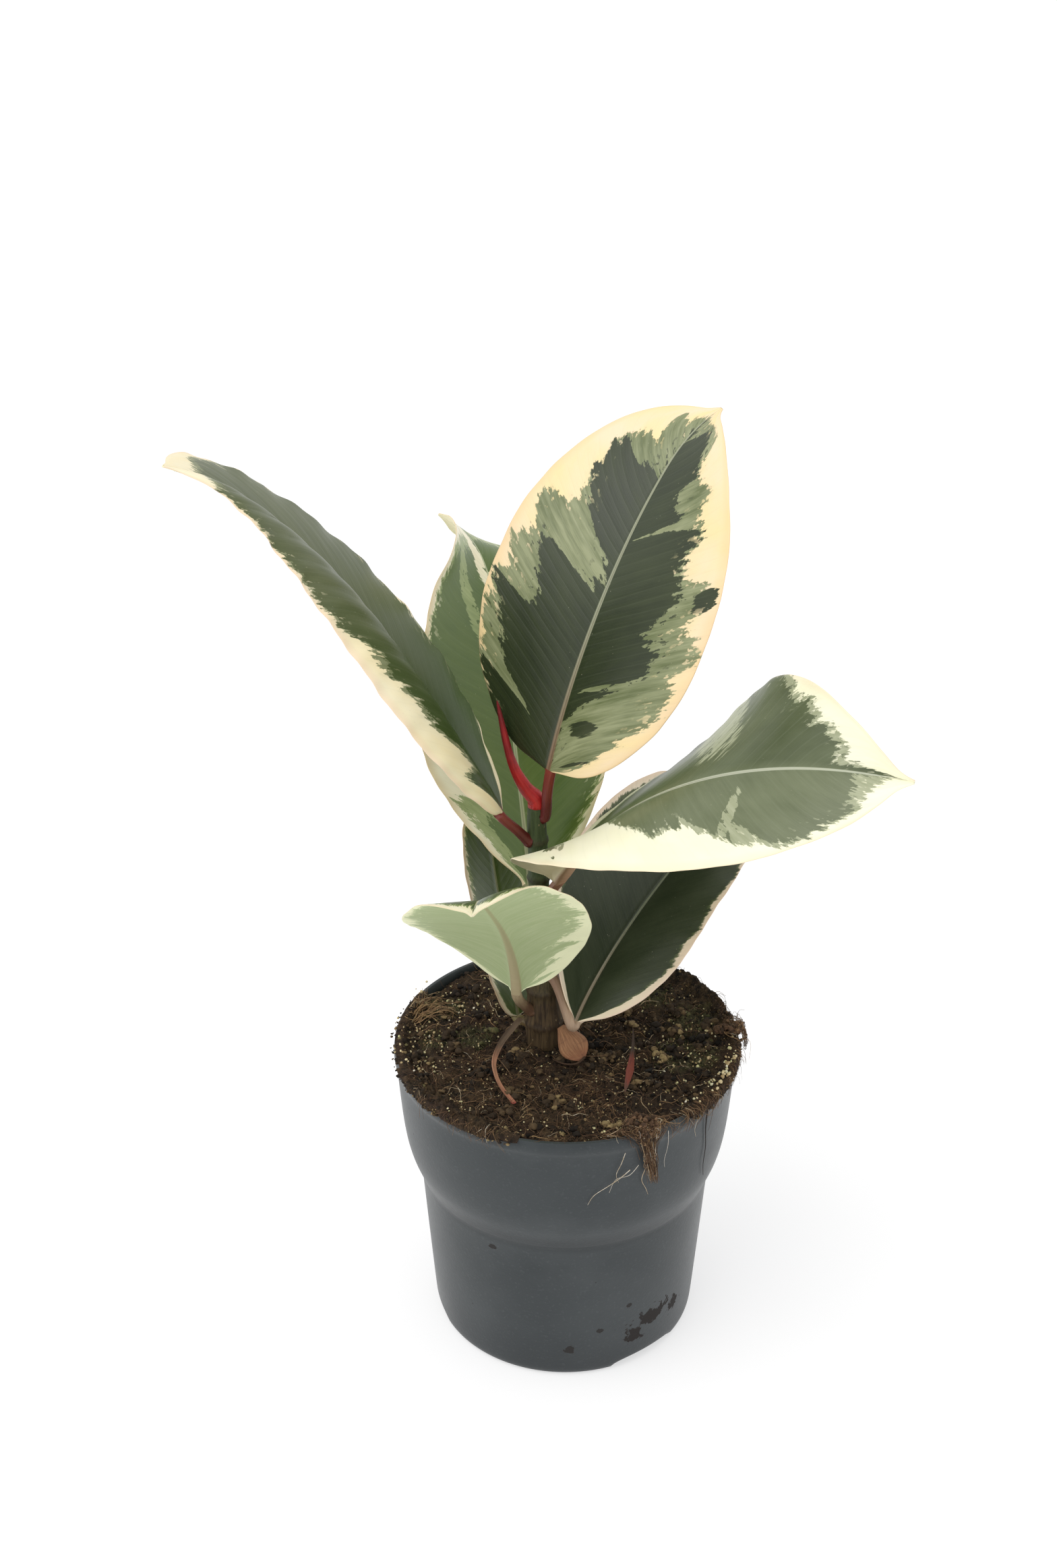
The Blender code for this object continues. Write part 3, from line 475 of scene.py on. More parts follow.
def leaf_skin(name, under):
    sp = SKINS[name]
    g = Graph(name + ("_under" if under else "_upper"))
    u, v, dist = g.sep(g.attr("leaf"))
    au = g.math("ABSOLUTE", u)
    right = g.math("GREATER_THAN", u, 0.0)
    vp = g.sub(v, g.mul(au, 0.2))
    x = g.mul(g.add(vp, 0.2), 1 / 1.2)
    seed = sp["seed"]
    side_shift = g.mul(right, 7.7)
    n1 = g.sub(g.noise(g.vec(g.mul(u, 2.2), g.mul(vp, 52.0), g.add(side_shift, seed)), 1.0, 2.2, 0.6), 0.5)
    n2 = g.sub(g.noise(g.vec(g.mul(u, 1.5), g.mul(vp, 15.0), g.add(side_shift, seed + 3)), 1.0, 2.0, 0.5), 0.5)
    n3 = g.sub(g.noise(g.vec(g.mul(u, 6.0), g.mul(vp, 150.0), g.add(side_shift, seed + 6)), 1.0, 2.0, 0.6), 0.5)
    soft = g.noise(g.vec(g.mul(u, 2.0), g.mul(vp, 7.0), seed + 9), 1.0, 3.0, 0.55)
    streak = g.noise(g.vec(g.mul(u, 2.5), g.mul(vp, 70.0), seed + 12), 1.0, 3.0, 0.65)
    a1, a2, a3 = sp["teeth"]
    size = LEAVES[name]["size"]
    n4 = g.sub(g.noise(g.vec(g.mul(u, size[1] * .30), g.mul(vp, size[0] * .62), g.add(side_shift, seed + 15)), 1.0, 3.0, 0.62), 0.5)
    wob = g.add(g.add(g.mul(n1, a1), g.mul(n2, a2)), g.add(g.mul(n3, a3 * 1.25), g.mul(n4, sp.get("grit", .22))))

    def border(key):
        sides = []
        for s in "LR":
            pts = [((p + 0.2) / 1.2, w / 1.25) for p, w in sp[key + s]]
            sides.append(g.mul(g.curve(x, pts), 1.25))
        return g.lerp(right, sides[0], sides[1])

    sharp = 0.030 if under else 0.010
    gd = g.sub(g.add(border("D_"), wob), au)
    gg = g.sub(g.add(border("G_"), g.mul(wob, 0.85)), au)
    dark = g.rng(gd, -sharp, sharp)
    grey = g.rng(gg, -sharp, sharp)
    for (iu, iv, ru, rv, slope, kind) in sp["islands"]:
        du = g.mul(g.sub(u, iu), 1 / ru)
        dv = g.mul(g.sub(g.sub(vp, iv), g.mul(g.sub(u, iu), slope)), 1 / rv)
        e = g.sub(1.0, g.math("SQRT", g.add(g.mul(du, du), g.mul(dv, dv))))
        m = g.rng(g.add(e, g.add(g.mul(n1, 1.2), g.mul(n3, 0.8))), -0.05, 0.06)
        grey = g.math("MAXIMUM", grey, m) if kind != "cream" else grey
        if kind == "cream":
            grey = g.mul(grey, g.sub(1.0, m))
        elif kind == "dark":
            dark = g.math("MAXIMUM", dark, m)
        else:
            dark = g.mul(dark, g.sub(1.0, m))
    dark = g.mul(dark, grey)
    n5 = g.noise(g.vec(g.mul(u, size[1] * .13), g.mul(vp, size[0] * .42), g.add(side_shift, seed + 21)), 1.0, 2.5, 0.6)
    flake = g.mul(g.rng(n5, .60, .625), g.rng(gg, .22, .04))
    grey = g.mul(grey, g.sub(1.0, g.mul(flake, sp.get("flakes", .7))))
    n6 = g.noise(g.vec(g.mul(u, size[1] * .15), g.mul(vp, size[0] * .50), g.add(side_shift, seed + 27)), 1.0, 2.5, 0.6)
    dark = g.math("MAXIMUM", dark, g.mul(g.mul(g.rng(n6, .615, .635), g.rng(gd, -.22, -.04)), grey))
    dark = g.mul(dark, grey)

    if under:
        c1, c2, c3 = UNDER.get(name, ((150, 164, 118), (166, 178, 134), (232, 224, 184)))
        green = g.mix(g.rng(streak, .35, .65), srgb(*c1), srgb(*c2))
        green = g.mix(g.mul(dark, g.rng(soft, .2, .8, .15, .45)), green, srgb(*[k * .90 for k in c1]))
        pale = g.mix(g.rng(soft, .3, .7), srgb(*c3), srgb(*[min(255, k * 1.04) for k in c3]))
        col = g.mix(g.mul(grey, .95), pale, green)
    else:
        pale = g.mix(g.rng(soft, .3, .7), srgb(*sp["cream"][0]), srgb(*sp["cream"][1]))
        pale = g.mix(g.mul(g.rng(au, .90, 1.0), .55), pale, srgb(*sp["edge"]))
        # a faint green film in the pale margin just outside the border
        pale = g.mix(g.mul(g.rng(gg, -.10, 0.0), g.rng(streak, .45, .75, 0, .22)), pale, srgb(*sp["grey"][1]))
        gcol = g.mix(g.rng(g.add(g.mul(streak, .6), g.mul(soft, .4)), .36, .62), srgb(*sp["grey"][0]), srgb(*sp["grey"][1]))
        dcol = g.mix(g.rng(g.add(g.mul(streak, .45), g.mul(soft, .55)), .34, .66), srgb(*sp["dark"][0]), srgb(*sp["dark"][1]))
        # painted shade: the dark heart turns to darker colours on the far half of the blade (u below 0)
        if "far" in sp:
            far = g.mix(g.rng(soft, .34, .66), srgb(*sp["far"][0]), srgb(*sp["far"][1]))
            dcol = g.mix(g.rng(u, .02, -.10, 0, .85), dcol, far)
        if "low" in sp:
            dcol = g.mix(g.rng(v, .62, .20), dcol, srgb(*sp["low"]))
        col = g.mix(grey, pale, gcol)
        col = g.mix(dark, col, dcol)
    # lateral veins, closely set, and the fine net between them
    phase = g.add(g.mul(vp, sp["veins"]), g.mul(n2, 0.5))
    saw = g.math("FRACT", phase)
    tri = g.math("ABSOLUTE", g.sub(g.mul(saw, 2.0), 1.0))
    vein = g.mul(g.rng(tri, .80, 1.0), g.rng(au, .97, .85))
    fine = g.math("ABSOLUTE", g.sub(g.mul(g.math("FRACT", g.mul(phase, 3.0)), 2.0), 1.0))
    fine = g.rng(fine, .7, 1.0)
    col = g.mix(g.mul(g.mul(vein, g.rng(grey, 0, 1, .25, 1.0)), .14 if under else .11), col, srgb(*(tuple(min(255, k * 1.1) for k in (184, 188, 152)) if under else sp["vein"])))
    col = g.mix(g.mul(g.mul(fine, grey), .035), col, srgb(*sp["vein"]))
    # midrib
    ad = g.math("ABSOLUTE", dist)
    wide = g.rng(v, 0.0, 1.0, 1.55 if under else 1.15, 0.35)
    mid = g.rng(ad, g.mul(wide, 1.0), g.mul(wide, .55))
    mid = g.mul(mid, g.rng(v, .985, .93))
    midcol = g.mix(g.rng(v, 0.0, .42), srgb(*sp["mid"][0]), srgb(*sp["mid"][1]))
    if under:
        midcol = g.mix(g.rng(v, 0.0, .55), srgb(*PETIOLES[name][1]), srgb(164, 164, 122))
    col = g.mix(g.mul(mid, .90), col, midcol)
    if not under:
        core = g.mul(g.rng(ad, .30, .10), g.rng(v, .9, .5))
        col = g.mix(g.mul(core, .45), col, srgb(*[k * .62 for k in sp["mid"][0]]))
    # tiny pale specks of dust and cork
    spk = g.voronoi(g.vec(g.mul(u, 26.0), g.mul(v, 60.0), seed), 1.0)
    spk = g.mul(g.rng(spk, .10, .05), g.rng(g.noise(g.vec(g.mul(u, 5.0), g.mul(v, 9.0), seed), 1.0, 1.0), .55, .62))
    col = g.mix(g.mul(spk, sp.get("specks", .35)), col, srgb(206, 202, 176))
    # the thin rim of the blade is a translucent, slightly browner line
    col = g.mix(g.rng(au, .988, 1.0, 0, .35), col, srgb(*sp["edge"]))
    quilt = g.mul(g.sub(1.0, g.mul(tri, tri)), g.rng(au, 1.0, .8))
    height = g.add(g.mul(quilt, sp.get("ribs", .16)), g.add(g.mul(fine, -.04), g.mul(soft, .5)))
    height = g.add(height, g.mul(n3, .12))
    g.bump(height, .30, 0.0007)
    rough = g.rng(soft, .25, .75, .44 if under else .30, .58 if under else .42)
    shine = sp.get("shine", .5)
    return g.set(Base_Color=col, Roughness=rough, Coat_Weight=0.0 if under else .2 * (shine - .25) * 2, Coat_Roughness=0.28,
                 Specular_IOR_Level=min(.40, shine) if under else shine)


def petiole_skin(name):
    a, b = PETIOLES[name]
    g = Graph(name + "_petiole")
    u, v, d = g.sep(g.attr("leaf"))
    t = g.add(v, 1.0)
    n = g.noise(g.vec(g.mul(u, 3.0), g.mul(t, 6.0), SKINS[name]["seed"]), 1.0, 3.0, .6)
    lines = g.noise(g.vec(g.mul(u, 14.0), g.mul(t, 2.0), 4.0), 1.0, 3.0, .6)
    col = g.mix(g.rng(g.add(t, g.mul(g.sub(n, .5), .6)), .35, 1.0), srgb(*a), srgb(*b))
    col = g.mix(g.rng(lines, .45, .75, 0, .35), col, srgb(*[k * .7 for k in a]))
    g.bump(lines, .35, .0004)
    return g.set(Base_Color=col, Roughness=g.rng(n, .3, .7, .34, .50), Specular_IOR_Level=.5)


# ------------------------------------------------------------------ leaves
QUILT = {"leaf_upper_left": (0.06, 0.55), "leaf_top": (0.02, 0.02), "leaf_right": (0.03, 0.03), "leaf_back": (0.05, 0.05),
         "leaf_lower_right": (0.02, 0.02), "leaf_front_small": (0.03, 0.03), "leaf_back_left": (0.03, 0.03)}
WAVE = {"leaf_upper_left": (0.9, 8.0), "leaf_top": (0.30, 5.0), "leaf_right": (0.45, 6.0), "leaf_back": (0.7, 6.5),
        "leaf_lower_right": (0.35, 6.0), "leaf_front_small": (0.30, 4.0), "leaf_back_left": (0.35, 5.0)}


def make_leaf(name):
    p = LEAVES[name]
    length, width = p["size"]
    steps = 400
    tt = np.linspace(0, 1, steps + 1)
    ease = sstep((tt - 0.78) / 0.22)
    h = np.radians(q3(p["heading"], tt) + p["turn"] * ease)
    e = np.radians(q3(p["rise"], tt) + p["nod"] * ease)
    tan = np.stack([np.cos(e) * np.cos(h), np.cos(e) * np.sin(h), np.sin(e)], 1)
    pos = np.concatenate([[np.zeros(3)], np.cumsum((tan[1:] + tan[:-1]) * 0.5 * length / steps, 0)]) + np.array(p["base"])
    side = np.stack([np.sin(h), -np.cos(h), np.zeros_like(h)], 1)
    up = np.cross(side, tan)
    r = np.radians(q3(p["roll"], tt))[:, None]
    side, up = side * np.cos(r) + up * np.sin(r), up * np.cos(r) - side * np.sin(r)

    ts = np.concatenate([np.linspace(0, .06, 13)[:-1], np.linspace(.06, .90, 110)[:-1], np.linspace(.90, 1.0, 34)])
    at = lambda a: np.stack([np.interp(ts, tt, a[:, i]) for i in range(3)], 1)
    P, T, S, U = at(pos), unit(at(tan)), unit(at(side)), unit(at(up))
    ss = np.concatenate([np.linspace(0, .92, 24), [.945, .965, .982, .993, 1.0]])
    w = 0.5 * width * pchip(OUTLINE, np.clip(ts, 0, 1) ** p["skew"])
    thick = BLADE_T * np.where(ts < .97, 1.0, .7) * .85
    edge_t = np.sqrt(np.clip(1 - np.clip((ss - .955) / .047, 0, 1) ** 2, 0.02, 1))
    ridge = 2.6 * (1 - ts) ** 1.5 + .3
    nv = SKINS[name]["veins"] * 0.5
    half = []
    for key, sign, k in (("left", -1.0, 0), ("right", 1.0, 1)):
        kk = 1 if key == "left" else 0
        m = np.linspace(0, 1, 61)
        curl, crest = (p["curl"][1], p["crest"][1]) if key == "left" else (p["curl"][0], p["crest"][0])
        fold = q3(p[key], ts)
        phi = np.radians(fold[:, None] + curl * m + crest * (1 - m) ** 4 * np.sin(np.pi * ts)[:, None])
        cx = np.concatenate([np.zeros((len(ts), 1)), np.cumsum((np.cos(phi[:, 1:]) + np.cos(phi[:, :-1])) / 120, 1)], 1) * w[:, None]
        cy = np.concatenate([np.zeros((len(ts), 1)), np.cumsum((np.sin(phi[:, 1:]) + np.sin(phi[:, :-1])) / 120, 1)], 1) * w[:, None]
        X = np.stack([np.interp(ss, m, row) for row in cx])
        Y = np.stack([np.interp(ss, m, row) for row in cy])
        F = np.stack([np.interp(ss, m, row) for row in phi])
        Q = P[:, None] + S[:, None] * (sign * X)[..., None] + U[:, None] * Y[..., None]
        N = U[:, None] * np.cos(F)[..., None] - S[:, None] * (sign * np.sin(F))[..., None]
        tg, sg = ts[:, None], ss[None, :]
        d = sg * w[:, None]
        amp = QUILT[name][kk]
        vein_phase = nv * (tg - .2 * sg) + .35 * np.sin(5 * tg + 2 * k)
        bulge = np.abs(np.sin(np.pi * vein_phase)) ** .8 - .55
        lift = amp * bulge * np.sin(np.pi * np.clip(sg * .96 + .02, 0, 1)) ** .7 * sstep(tg / .12) * sstep((1 - tg) / .2)
        wa, wf = WAVE[name]
        lift = lift + wa * sg ** 5 * (np.sin(2 * np.pi * wf * tg + 1.3 * k + SKINS[name]["seed"])
                                      + .5 * np.sin(2 * np.pi * wf * 2.3 * tg + SKINS[name]["seed"])) * .5 * sstep(tg / .1) * sstep((1 - tg) / .15)
        lift = lift - .30 * np.exp(-(d / 1.0) ** 2) * (1 - tg) * sstep(tg / .04)
        lift = lift + .16 * np.exp(-((d - 1.7) / .7) ** 2) * (1 - tg) * sstep(tg / .06)
        th = thick[:, None] * edge_t[None, :]
        top = Q + N * (lift + th / 2)[..., None]
        rib = ridge[:, None] * np.exp(-(d / (1.25 + .5 * (1 - tg))) ** 2)
        low = Q + N * (lift - th / 2 - rib)[..., None]
        half.append((top, low, np.broadcast_to(sign * sg, d.shape), sign * d))
    (lt, ll, lu, ld), (rt, rl, ru, rd) = half
    top = np.concatenate([lt[:, ::-1], rt[:, 1:]], 1)
    low = np.concatenate([ll[:, ::-1], rl[:, 1:]], 1)[:, ::-1]
    uu = np.concatenate([lu[:, ::-1], ru[:, 1:]], 1)
    dd = np.concatenate([ld[:, ::-1], rd[:, 1:]], 1)
    n_half = top.shape[1]
    blade = np.concatenate([top, low], 1)
    coord = np.stack([np.concatenate([uu, uu[:, ::-1]], 1), np.repeat(ts[:, None], 2 * n_half, 1),
                      np.concatenate([dd, dd[:, ::-1]], 1)], -1)
    # petiole
    z, compass = p["node"]
    out = np.array([math.cos(math.radians(compass)), math.sin(math.radians(compass)), 0.0])
    p0 = stem_axis(z) + out * (stem_radius(z) - 0.6)
    p1 = np.array(p["base"], float)
    span = np.linalg.norm(p1 - p0)
    m0 = unit(out + np.array([0, 0, p.get("start", .9)])) * span * (.8 if "start" in p else .45)
    m1 = T[0] * span
    her = lambda t: (p0 * (2 * t ** 3 - 3 * t ** 2 + 1) + m0 * (t ** 3 - 2 * t ** 2 + t)
                     + p1 * (-2 * t ** 3 + 3 * t ** 2) + m1 * (t ** 3 - t ** 2))
    rings, pc = [], []
    K = 26
    ang = np.radians(np.concatenate([172 - 164 * np.arange(n_half) / (n_half - 1), -8 - 164 * np.arange(n_half) / (n_half - 1)]))
    for i in range(K):
        t = i / K
        c = her(t)
        dr = unit(her(min(t + .02, 1)) - her(max(t - .02, 0))) if i else unit(m0 + out * span)
        s = S[0] - dr * S[0].dot(dr)
        s = unit(s)
        uv = np.cross(s, dr)
        rr = 1.85 + .75 * math.exp(-t * 9) - .12 * math.sin(math.pi * t)
        drop = 1.15 * float(sstep((t - .45) / .55))
        groove = np.where(np.sin(ang) > 0, -.28 * np.exp(-(np.cos(ang) / .35) ** 2) * t, 0)
        rad = rr + groove + .04 * np.sin(7 * ang + 3 * t)
        rings.append(c - uv * drop + s * (rad * np.cos(ang))[:, None] + uv * (rad * np.sin(ang))[:, None])
        pc.append(np.stack([np.cos(ang), np.full(len(ang), t - 1.0), np.full(len(ang), 9.0)], -1))
    verts = np.concatenate([np.array(rings), blade]).reshape(-1, 3)
    attr = np.concatenate([np.array(pc), coord]).reshape(-1, 3)
    n = 2 * n_half
    rows = K + len(ts)
    faces = grid_faces(rows, n)
    # outward faces: the loops run clockwise seen from the tip
    mats = []
    for i in range(rows - 1):
        for j in range(n):
            mats.append(2 if i < K else (0 if (j < n_half or j == n - 1) else 1))
    faces.append(tuple(reversed(range(n))))
    mats.append(2)
    last = (rows - 1) * n
    faces.append(tuple(last + j for j in range(n)))
    mats.append(0)
    ob = new_object(name + "_leaf", verts, faces, [leaf_skin(name, False), leaf_skin(name, True), petiole_skin(name)],
                    {"leaf": attr}, mats)
    me = ob.data
    bm = bmesh.new()
    bm.from_mesh(me)
    if bm.calc_volume(signed=True) < 0:
        bmesh.ops.reverse_faces(bm, faces=bm.faces)
    bm.to_mesh(me)
    bm.free()
    me.shade_smooth()
    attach(ob, "root")
    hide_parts(name)
    return ob


for leaf in LEAVES:
    make_leaf(leaf)


# ------------------------------------------------------------------ pot
def chaikin(pts, rounds=1):
    for _ in range(rounds):
        out = [pts[0]]
        for a, b in zip(pts, pts[1:]):
            out.append(tuple(x * .78 + y * .22 for x, y in zip(a, b)))
            out.append(tuple(x * .22 + y * .78 for x, y in zip(a, b)))
        out.append(pts[-1])
        pts = out
    return pts


OUTER = [(FOOT_R, 0.0, 1.0), (FOOT_R + 1.4, 0.9, 0.75), (FOOT_R + 2.1, 2.6, 0.35), (FOOT_R + 2.5, 6.0, 0.0),
         (49.6, 34.0, 0.0), (SHOULDER_R, COLLAR_Z - 1.0, 0.0),
         (SHOULDER_R + 0.7, COLLAR_Z + 0.6, 0.0), (53.9, 67.6, 0.0), (55.5, 72.0, 0.0), (56.8, 77.5, 0.0),
         (57.8, 85.0, 0.0), (58.7, 96.0, 0.0), (59.5, 107.0, 0.0), (RIM_R, 109.0, 0.0),
         (RIM_R + 0.1, 111.4, 0.0), (RIM_R - 0.6, POT_H, 0.0)]
INNER = [(RIM_R - 1.7, POT_H, 0.0), (RIM_R - 2.3, 111.6, 0.0), (58.0, 103.0, 0.0), (57.3, 94.0, 0.0),
         (56.3, 84.5, 0.0), (55.0, 76.5, 0.0), (53.1, 69.5, 0.0), (51.0, COLLAR_Z + 1.4, 0.0),
         (SHOULDER_R - WALL, COLLAR_Z - 1.6, 0.0), (48.3, 34.0, 0.0), (46.2, 8.5, 0.0),
         (44.6, 6.3, 0.0), (38.6, GROOVE_Z + FLOOR_T, 0.0), (24.5, GROOVE_Z + FLOOR_T, 0.0),
         (HUB_R - 0.8, FLOOR_T, 0.0)]
UNDERSIDE = [(HUB_R + 0.6, 0.0, 0.0), (HUB_R + 2.2, GROOVE_Z, 0.0), (38.2, GROOVE_Z, 0.0), (40.2, 0.0, 1.0)]


def outer_radius(z):
    return float(np.interp(z, [p[1] for p in OUTER], [p[0] for p in OUTER]))


def pot_skin():
    g = Graph("pot_plastic_satin")
    co = g.place()
    x, y, z = g.sep(co)
    ang = g.math("ARCTAN2", y, x)
    big = g.noise(co, 22.0, 3.0, .5)
    fine = g.noise(co, 900.0, 2.0, .6)
    wipe = g.noise(g.vec(g.mul(x, 26.0), g.mul(y, 26.0), g.mul(z, 30.0)), 1.0, 4.0, .55)
    col = g.mix(g.rng(big, .3, .7), srgb(48, 53, 55), srgb(55, 60, 62))
    col = g.mix(g.rng(fine, .58, .70, 0, .16), col, srgb(92, 96, 98))
    # dust film, thicker under the collar step and at the rim
    film = g.mul(g.rng(wipe, .46, .74), g.rng(z, .0, .113, .06, .12))
    col = g.mix(film, col, srgb(126, 130, 132))
    # painted shade: a band over the downward-facing collar slope (z 59 to 70 mm) is painted darker to damp the bright
    # floor's reflection there; the pot is also darker towards the bottom of the foot
    edge = g.mul(g.rng(z, .0590, .0625), g.rng(z, .0700, .0655))
    col = g.mix(g.mul(edge, .55), col, srgb(34, 38, 40))
    col = g.mix(g.rng(z, .022, .0, 0, .35), col, srgb(32, 35, 38))
    # peat smears: low at the front right by the foot notch, and a few specks
    grime = g.noise(co, 260.0, 4.0, .62, .4)

    def blot(cx, cy, cz, rx, rz, amount, edge):
        dx = g.mul(g.sub(ang, math.atan2(cy, cx)), 48.0 / rx)
        dz = g.mul(g.sub(g.mul(z, 1000.0), cz), 1 / rz)
        d = g.math("SQRT", g.add(g.mul(dx, dx), g.mul(dz, dz)))
        return g.mul(g.rng(g.add(g.sub(1.0, d), g.mul(g.sub(grime, .5), 3.2)), edge, edge + .12), amount)

    mud = blot(31.6, -37.5, 20.0, 12.0, 6.5, .92, .42)
    for args in ((25.5, -41.8, 14.2, 5.0, 5.5, .92, .30), (39.3, -29.3, 19.0, 4.0, 4.0, .9, .30), (1.7, -49.0, 13.0, 2.6, 2.2, .8, .25),
                 (12.1, -47.5, 21.0, 1.5, 1.2, .8, .10), (-24.5, -42.4, 57.0, 1.3, 1.0, .8, .05), (22, -44, 30, 1.2, 1.0, .8, .1)):
        mud = g.math("MAXIMUM", mud, blot(*args))
    spots = g.voronoi(co, 210.0)
    spots = g.mul(g.rng(spots, .075, .04), g.rng(g.noise(co, 31.0, 1.0), .56, .60))
    mud = g.math("MAXIMUM", mud, g.mul(spots, .75))
    col = g.mix(mud, col, srgb(36, 30, 27))
    scratch = g.noise(g.vec(g.mul(ang, 60.0), g.mul(z, 420.0), 9.0), 1.0, 2.0, .5)
    rough = g.rng(g.add(g.mul(wipe, .7), g.mul(scratch, .3)), .3, .7, .30, .42)
    rough = g.math("MAXIMUM", rough, g.mul(mud, .9))
    g.bump(g.add(g.mul(fine, .5), g.add(g.mul(mud, 1.2), g.mul(big, .8))), .16, .0006)
    return g.set(Base_Color=col, Roughness=rough, Specular_IOR_Level=.30)


def notch(theta):
    best = 0.0
    for c in NOTCHES:
        d = abs((math.degrees(theta) - c + 180.0) % 360.0 - 180.0) / NOTCH_HALF
        if d < 1.0:
            best = max(best, NOTCH_H * (1.0 - d * d) ** 0.6)
    return best


def make_pot():
    segs = 192
    outer = chaikin(OUTER, 2)
    inner = chaikin(INNER, 1)
    lip_in = [(RIM_R - 1.1, POT_H + .12, 0.0)]
    under = UNDERSIDE
    prof = outer + lip_in + inner
    n = len(prof) + len(under)
    verts, faces = [], []
    pts = prof + under
    for s in range(segs):
        th = 2 * math.pi * s / segs
        up = notch(th)
        for r, z, share in pts:
            wob = 1 + .0016 * math.sin(2 * th + .7) * min(1, z / 60)
            verts.append((r * wob * math.cos(th), r * wob * math.sin(th), z + up * share))
    top_c = len(verts)
    verts.append((0.0, 0.0, FLOOR_T))
    bot_c = len(verts)
    verts.append((0.0, 0.0, 0.0))
    last_inner = len(prof) - 1
    for s in range(segs):
        a, b = s * n, ((s + 1) % segs) * n
        for j in range(n):
            k = (j + 1) % n
            if j == last_inner:
                faces.append((a + j, b + j, top_c))
                faces.append((b + j + 1, a + j + 1, bot_c))
                continue
            faces.append((a + j, b + j, b + k, a + k))
    ob = new_object("pot_shell", verts, faces, [pot_skin()])
    bm = bmesh.new()
    bm.from_mesh(ob.data)
    bmesh.ops.recalc_face_normals(bm, faces=bm.faces)
    if bm.calc_volume(signed=True) < 0:
        bmesh.ops.reverse_faces(bm, faces=bm.faces)
    bm.to_mesh(ob.data)
    bm.free()
    holes = bmesh.new()
    for i in range(HOLES):
        a = math.radians(15.0 + 360.0 * i / HOLES)
        geo = bmesh.ops.create_cone(holes, cap_ends=True, segments=36, radius1=HOLE_R * MM, radius2=HOLE_R * MM, depth=6 * MM)
        for v in geo["verts"]:
            v.co += Vector((HOLE_RING * math.cos(a), HOLE_RING * math.sin(a), GROOVE_Z + 1.0)) * MM
    me = bpy.data.meshes.new("drain_cutter")
    holes.to_mesh(me)
    holes.free()
    cut = bpy.data.objects.new("drain_cutter", me)
    bpy.context.scene.collection.objects.link(cut)
    mod = ob.modifiers.new("holes", "BOOLEAN")
    mod.operation, mod.solver, mod.object = "DIFFERENCE", "EXACT", cut
    dg = bpy.context.evaluated_depsgraph_get()
    cutmesh = bpy.data.meshes.new_from_object(ob.evaluated_get(dg))
    ob.modifiers.clear()
    ob.data = cutmesh
    bpy.data.objects.remove(cut)
    ob.data.shade_smooth()
    ob.data.set_sharp_from_angle(angle=math.radians(38))
    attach(ob, "root")
    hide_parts("pot")


make_pot()


# ------------------------------------------------------------------ soil
MOSS = [(42.0, -8.0, 13.0), (46.0, 14.0, 9.0), (-44.0, 22.0, 9.0), (-32.0, 3.0, 8.0), (-46.0, 2.0, 6.0), (30.0, 30.0, 10.0)]


def moss_share(x, y):
    best = 0.0
    for cx, cy, r in MOSS:
        d = math.hypot(x - cx, y - cy) / r
        best = max(best, 1.0 - d)
    return best


def rough_top(x, y):
    """Fine relief of the peat, mm above its general level."""
    v = Vector((x, y, 0))
    h = 1.0 * noise.noise(v * 0.11) + 1.25 * noise.noise(v * 0.24 + Vector((3, 1, 0)))
    h += 1.25 * (0.42 - abs(noise.noise(v * 0.50 + Vector((7, 9, 0))))) + 0.80 * noise.noise(v * 1.05)
    h += 0.42 * noise.noise(v * 2.2)
    return h


def soil_z(x, y):
    return soil_height(x, y) + rough_top(x, y)


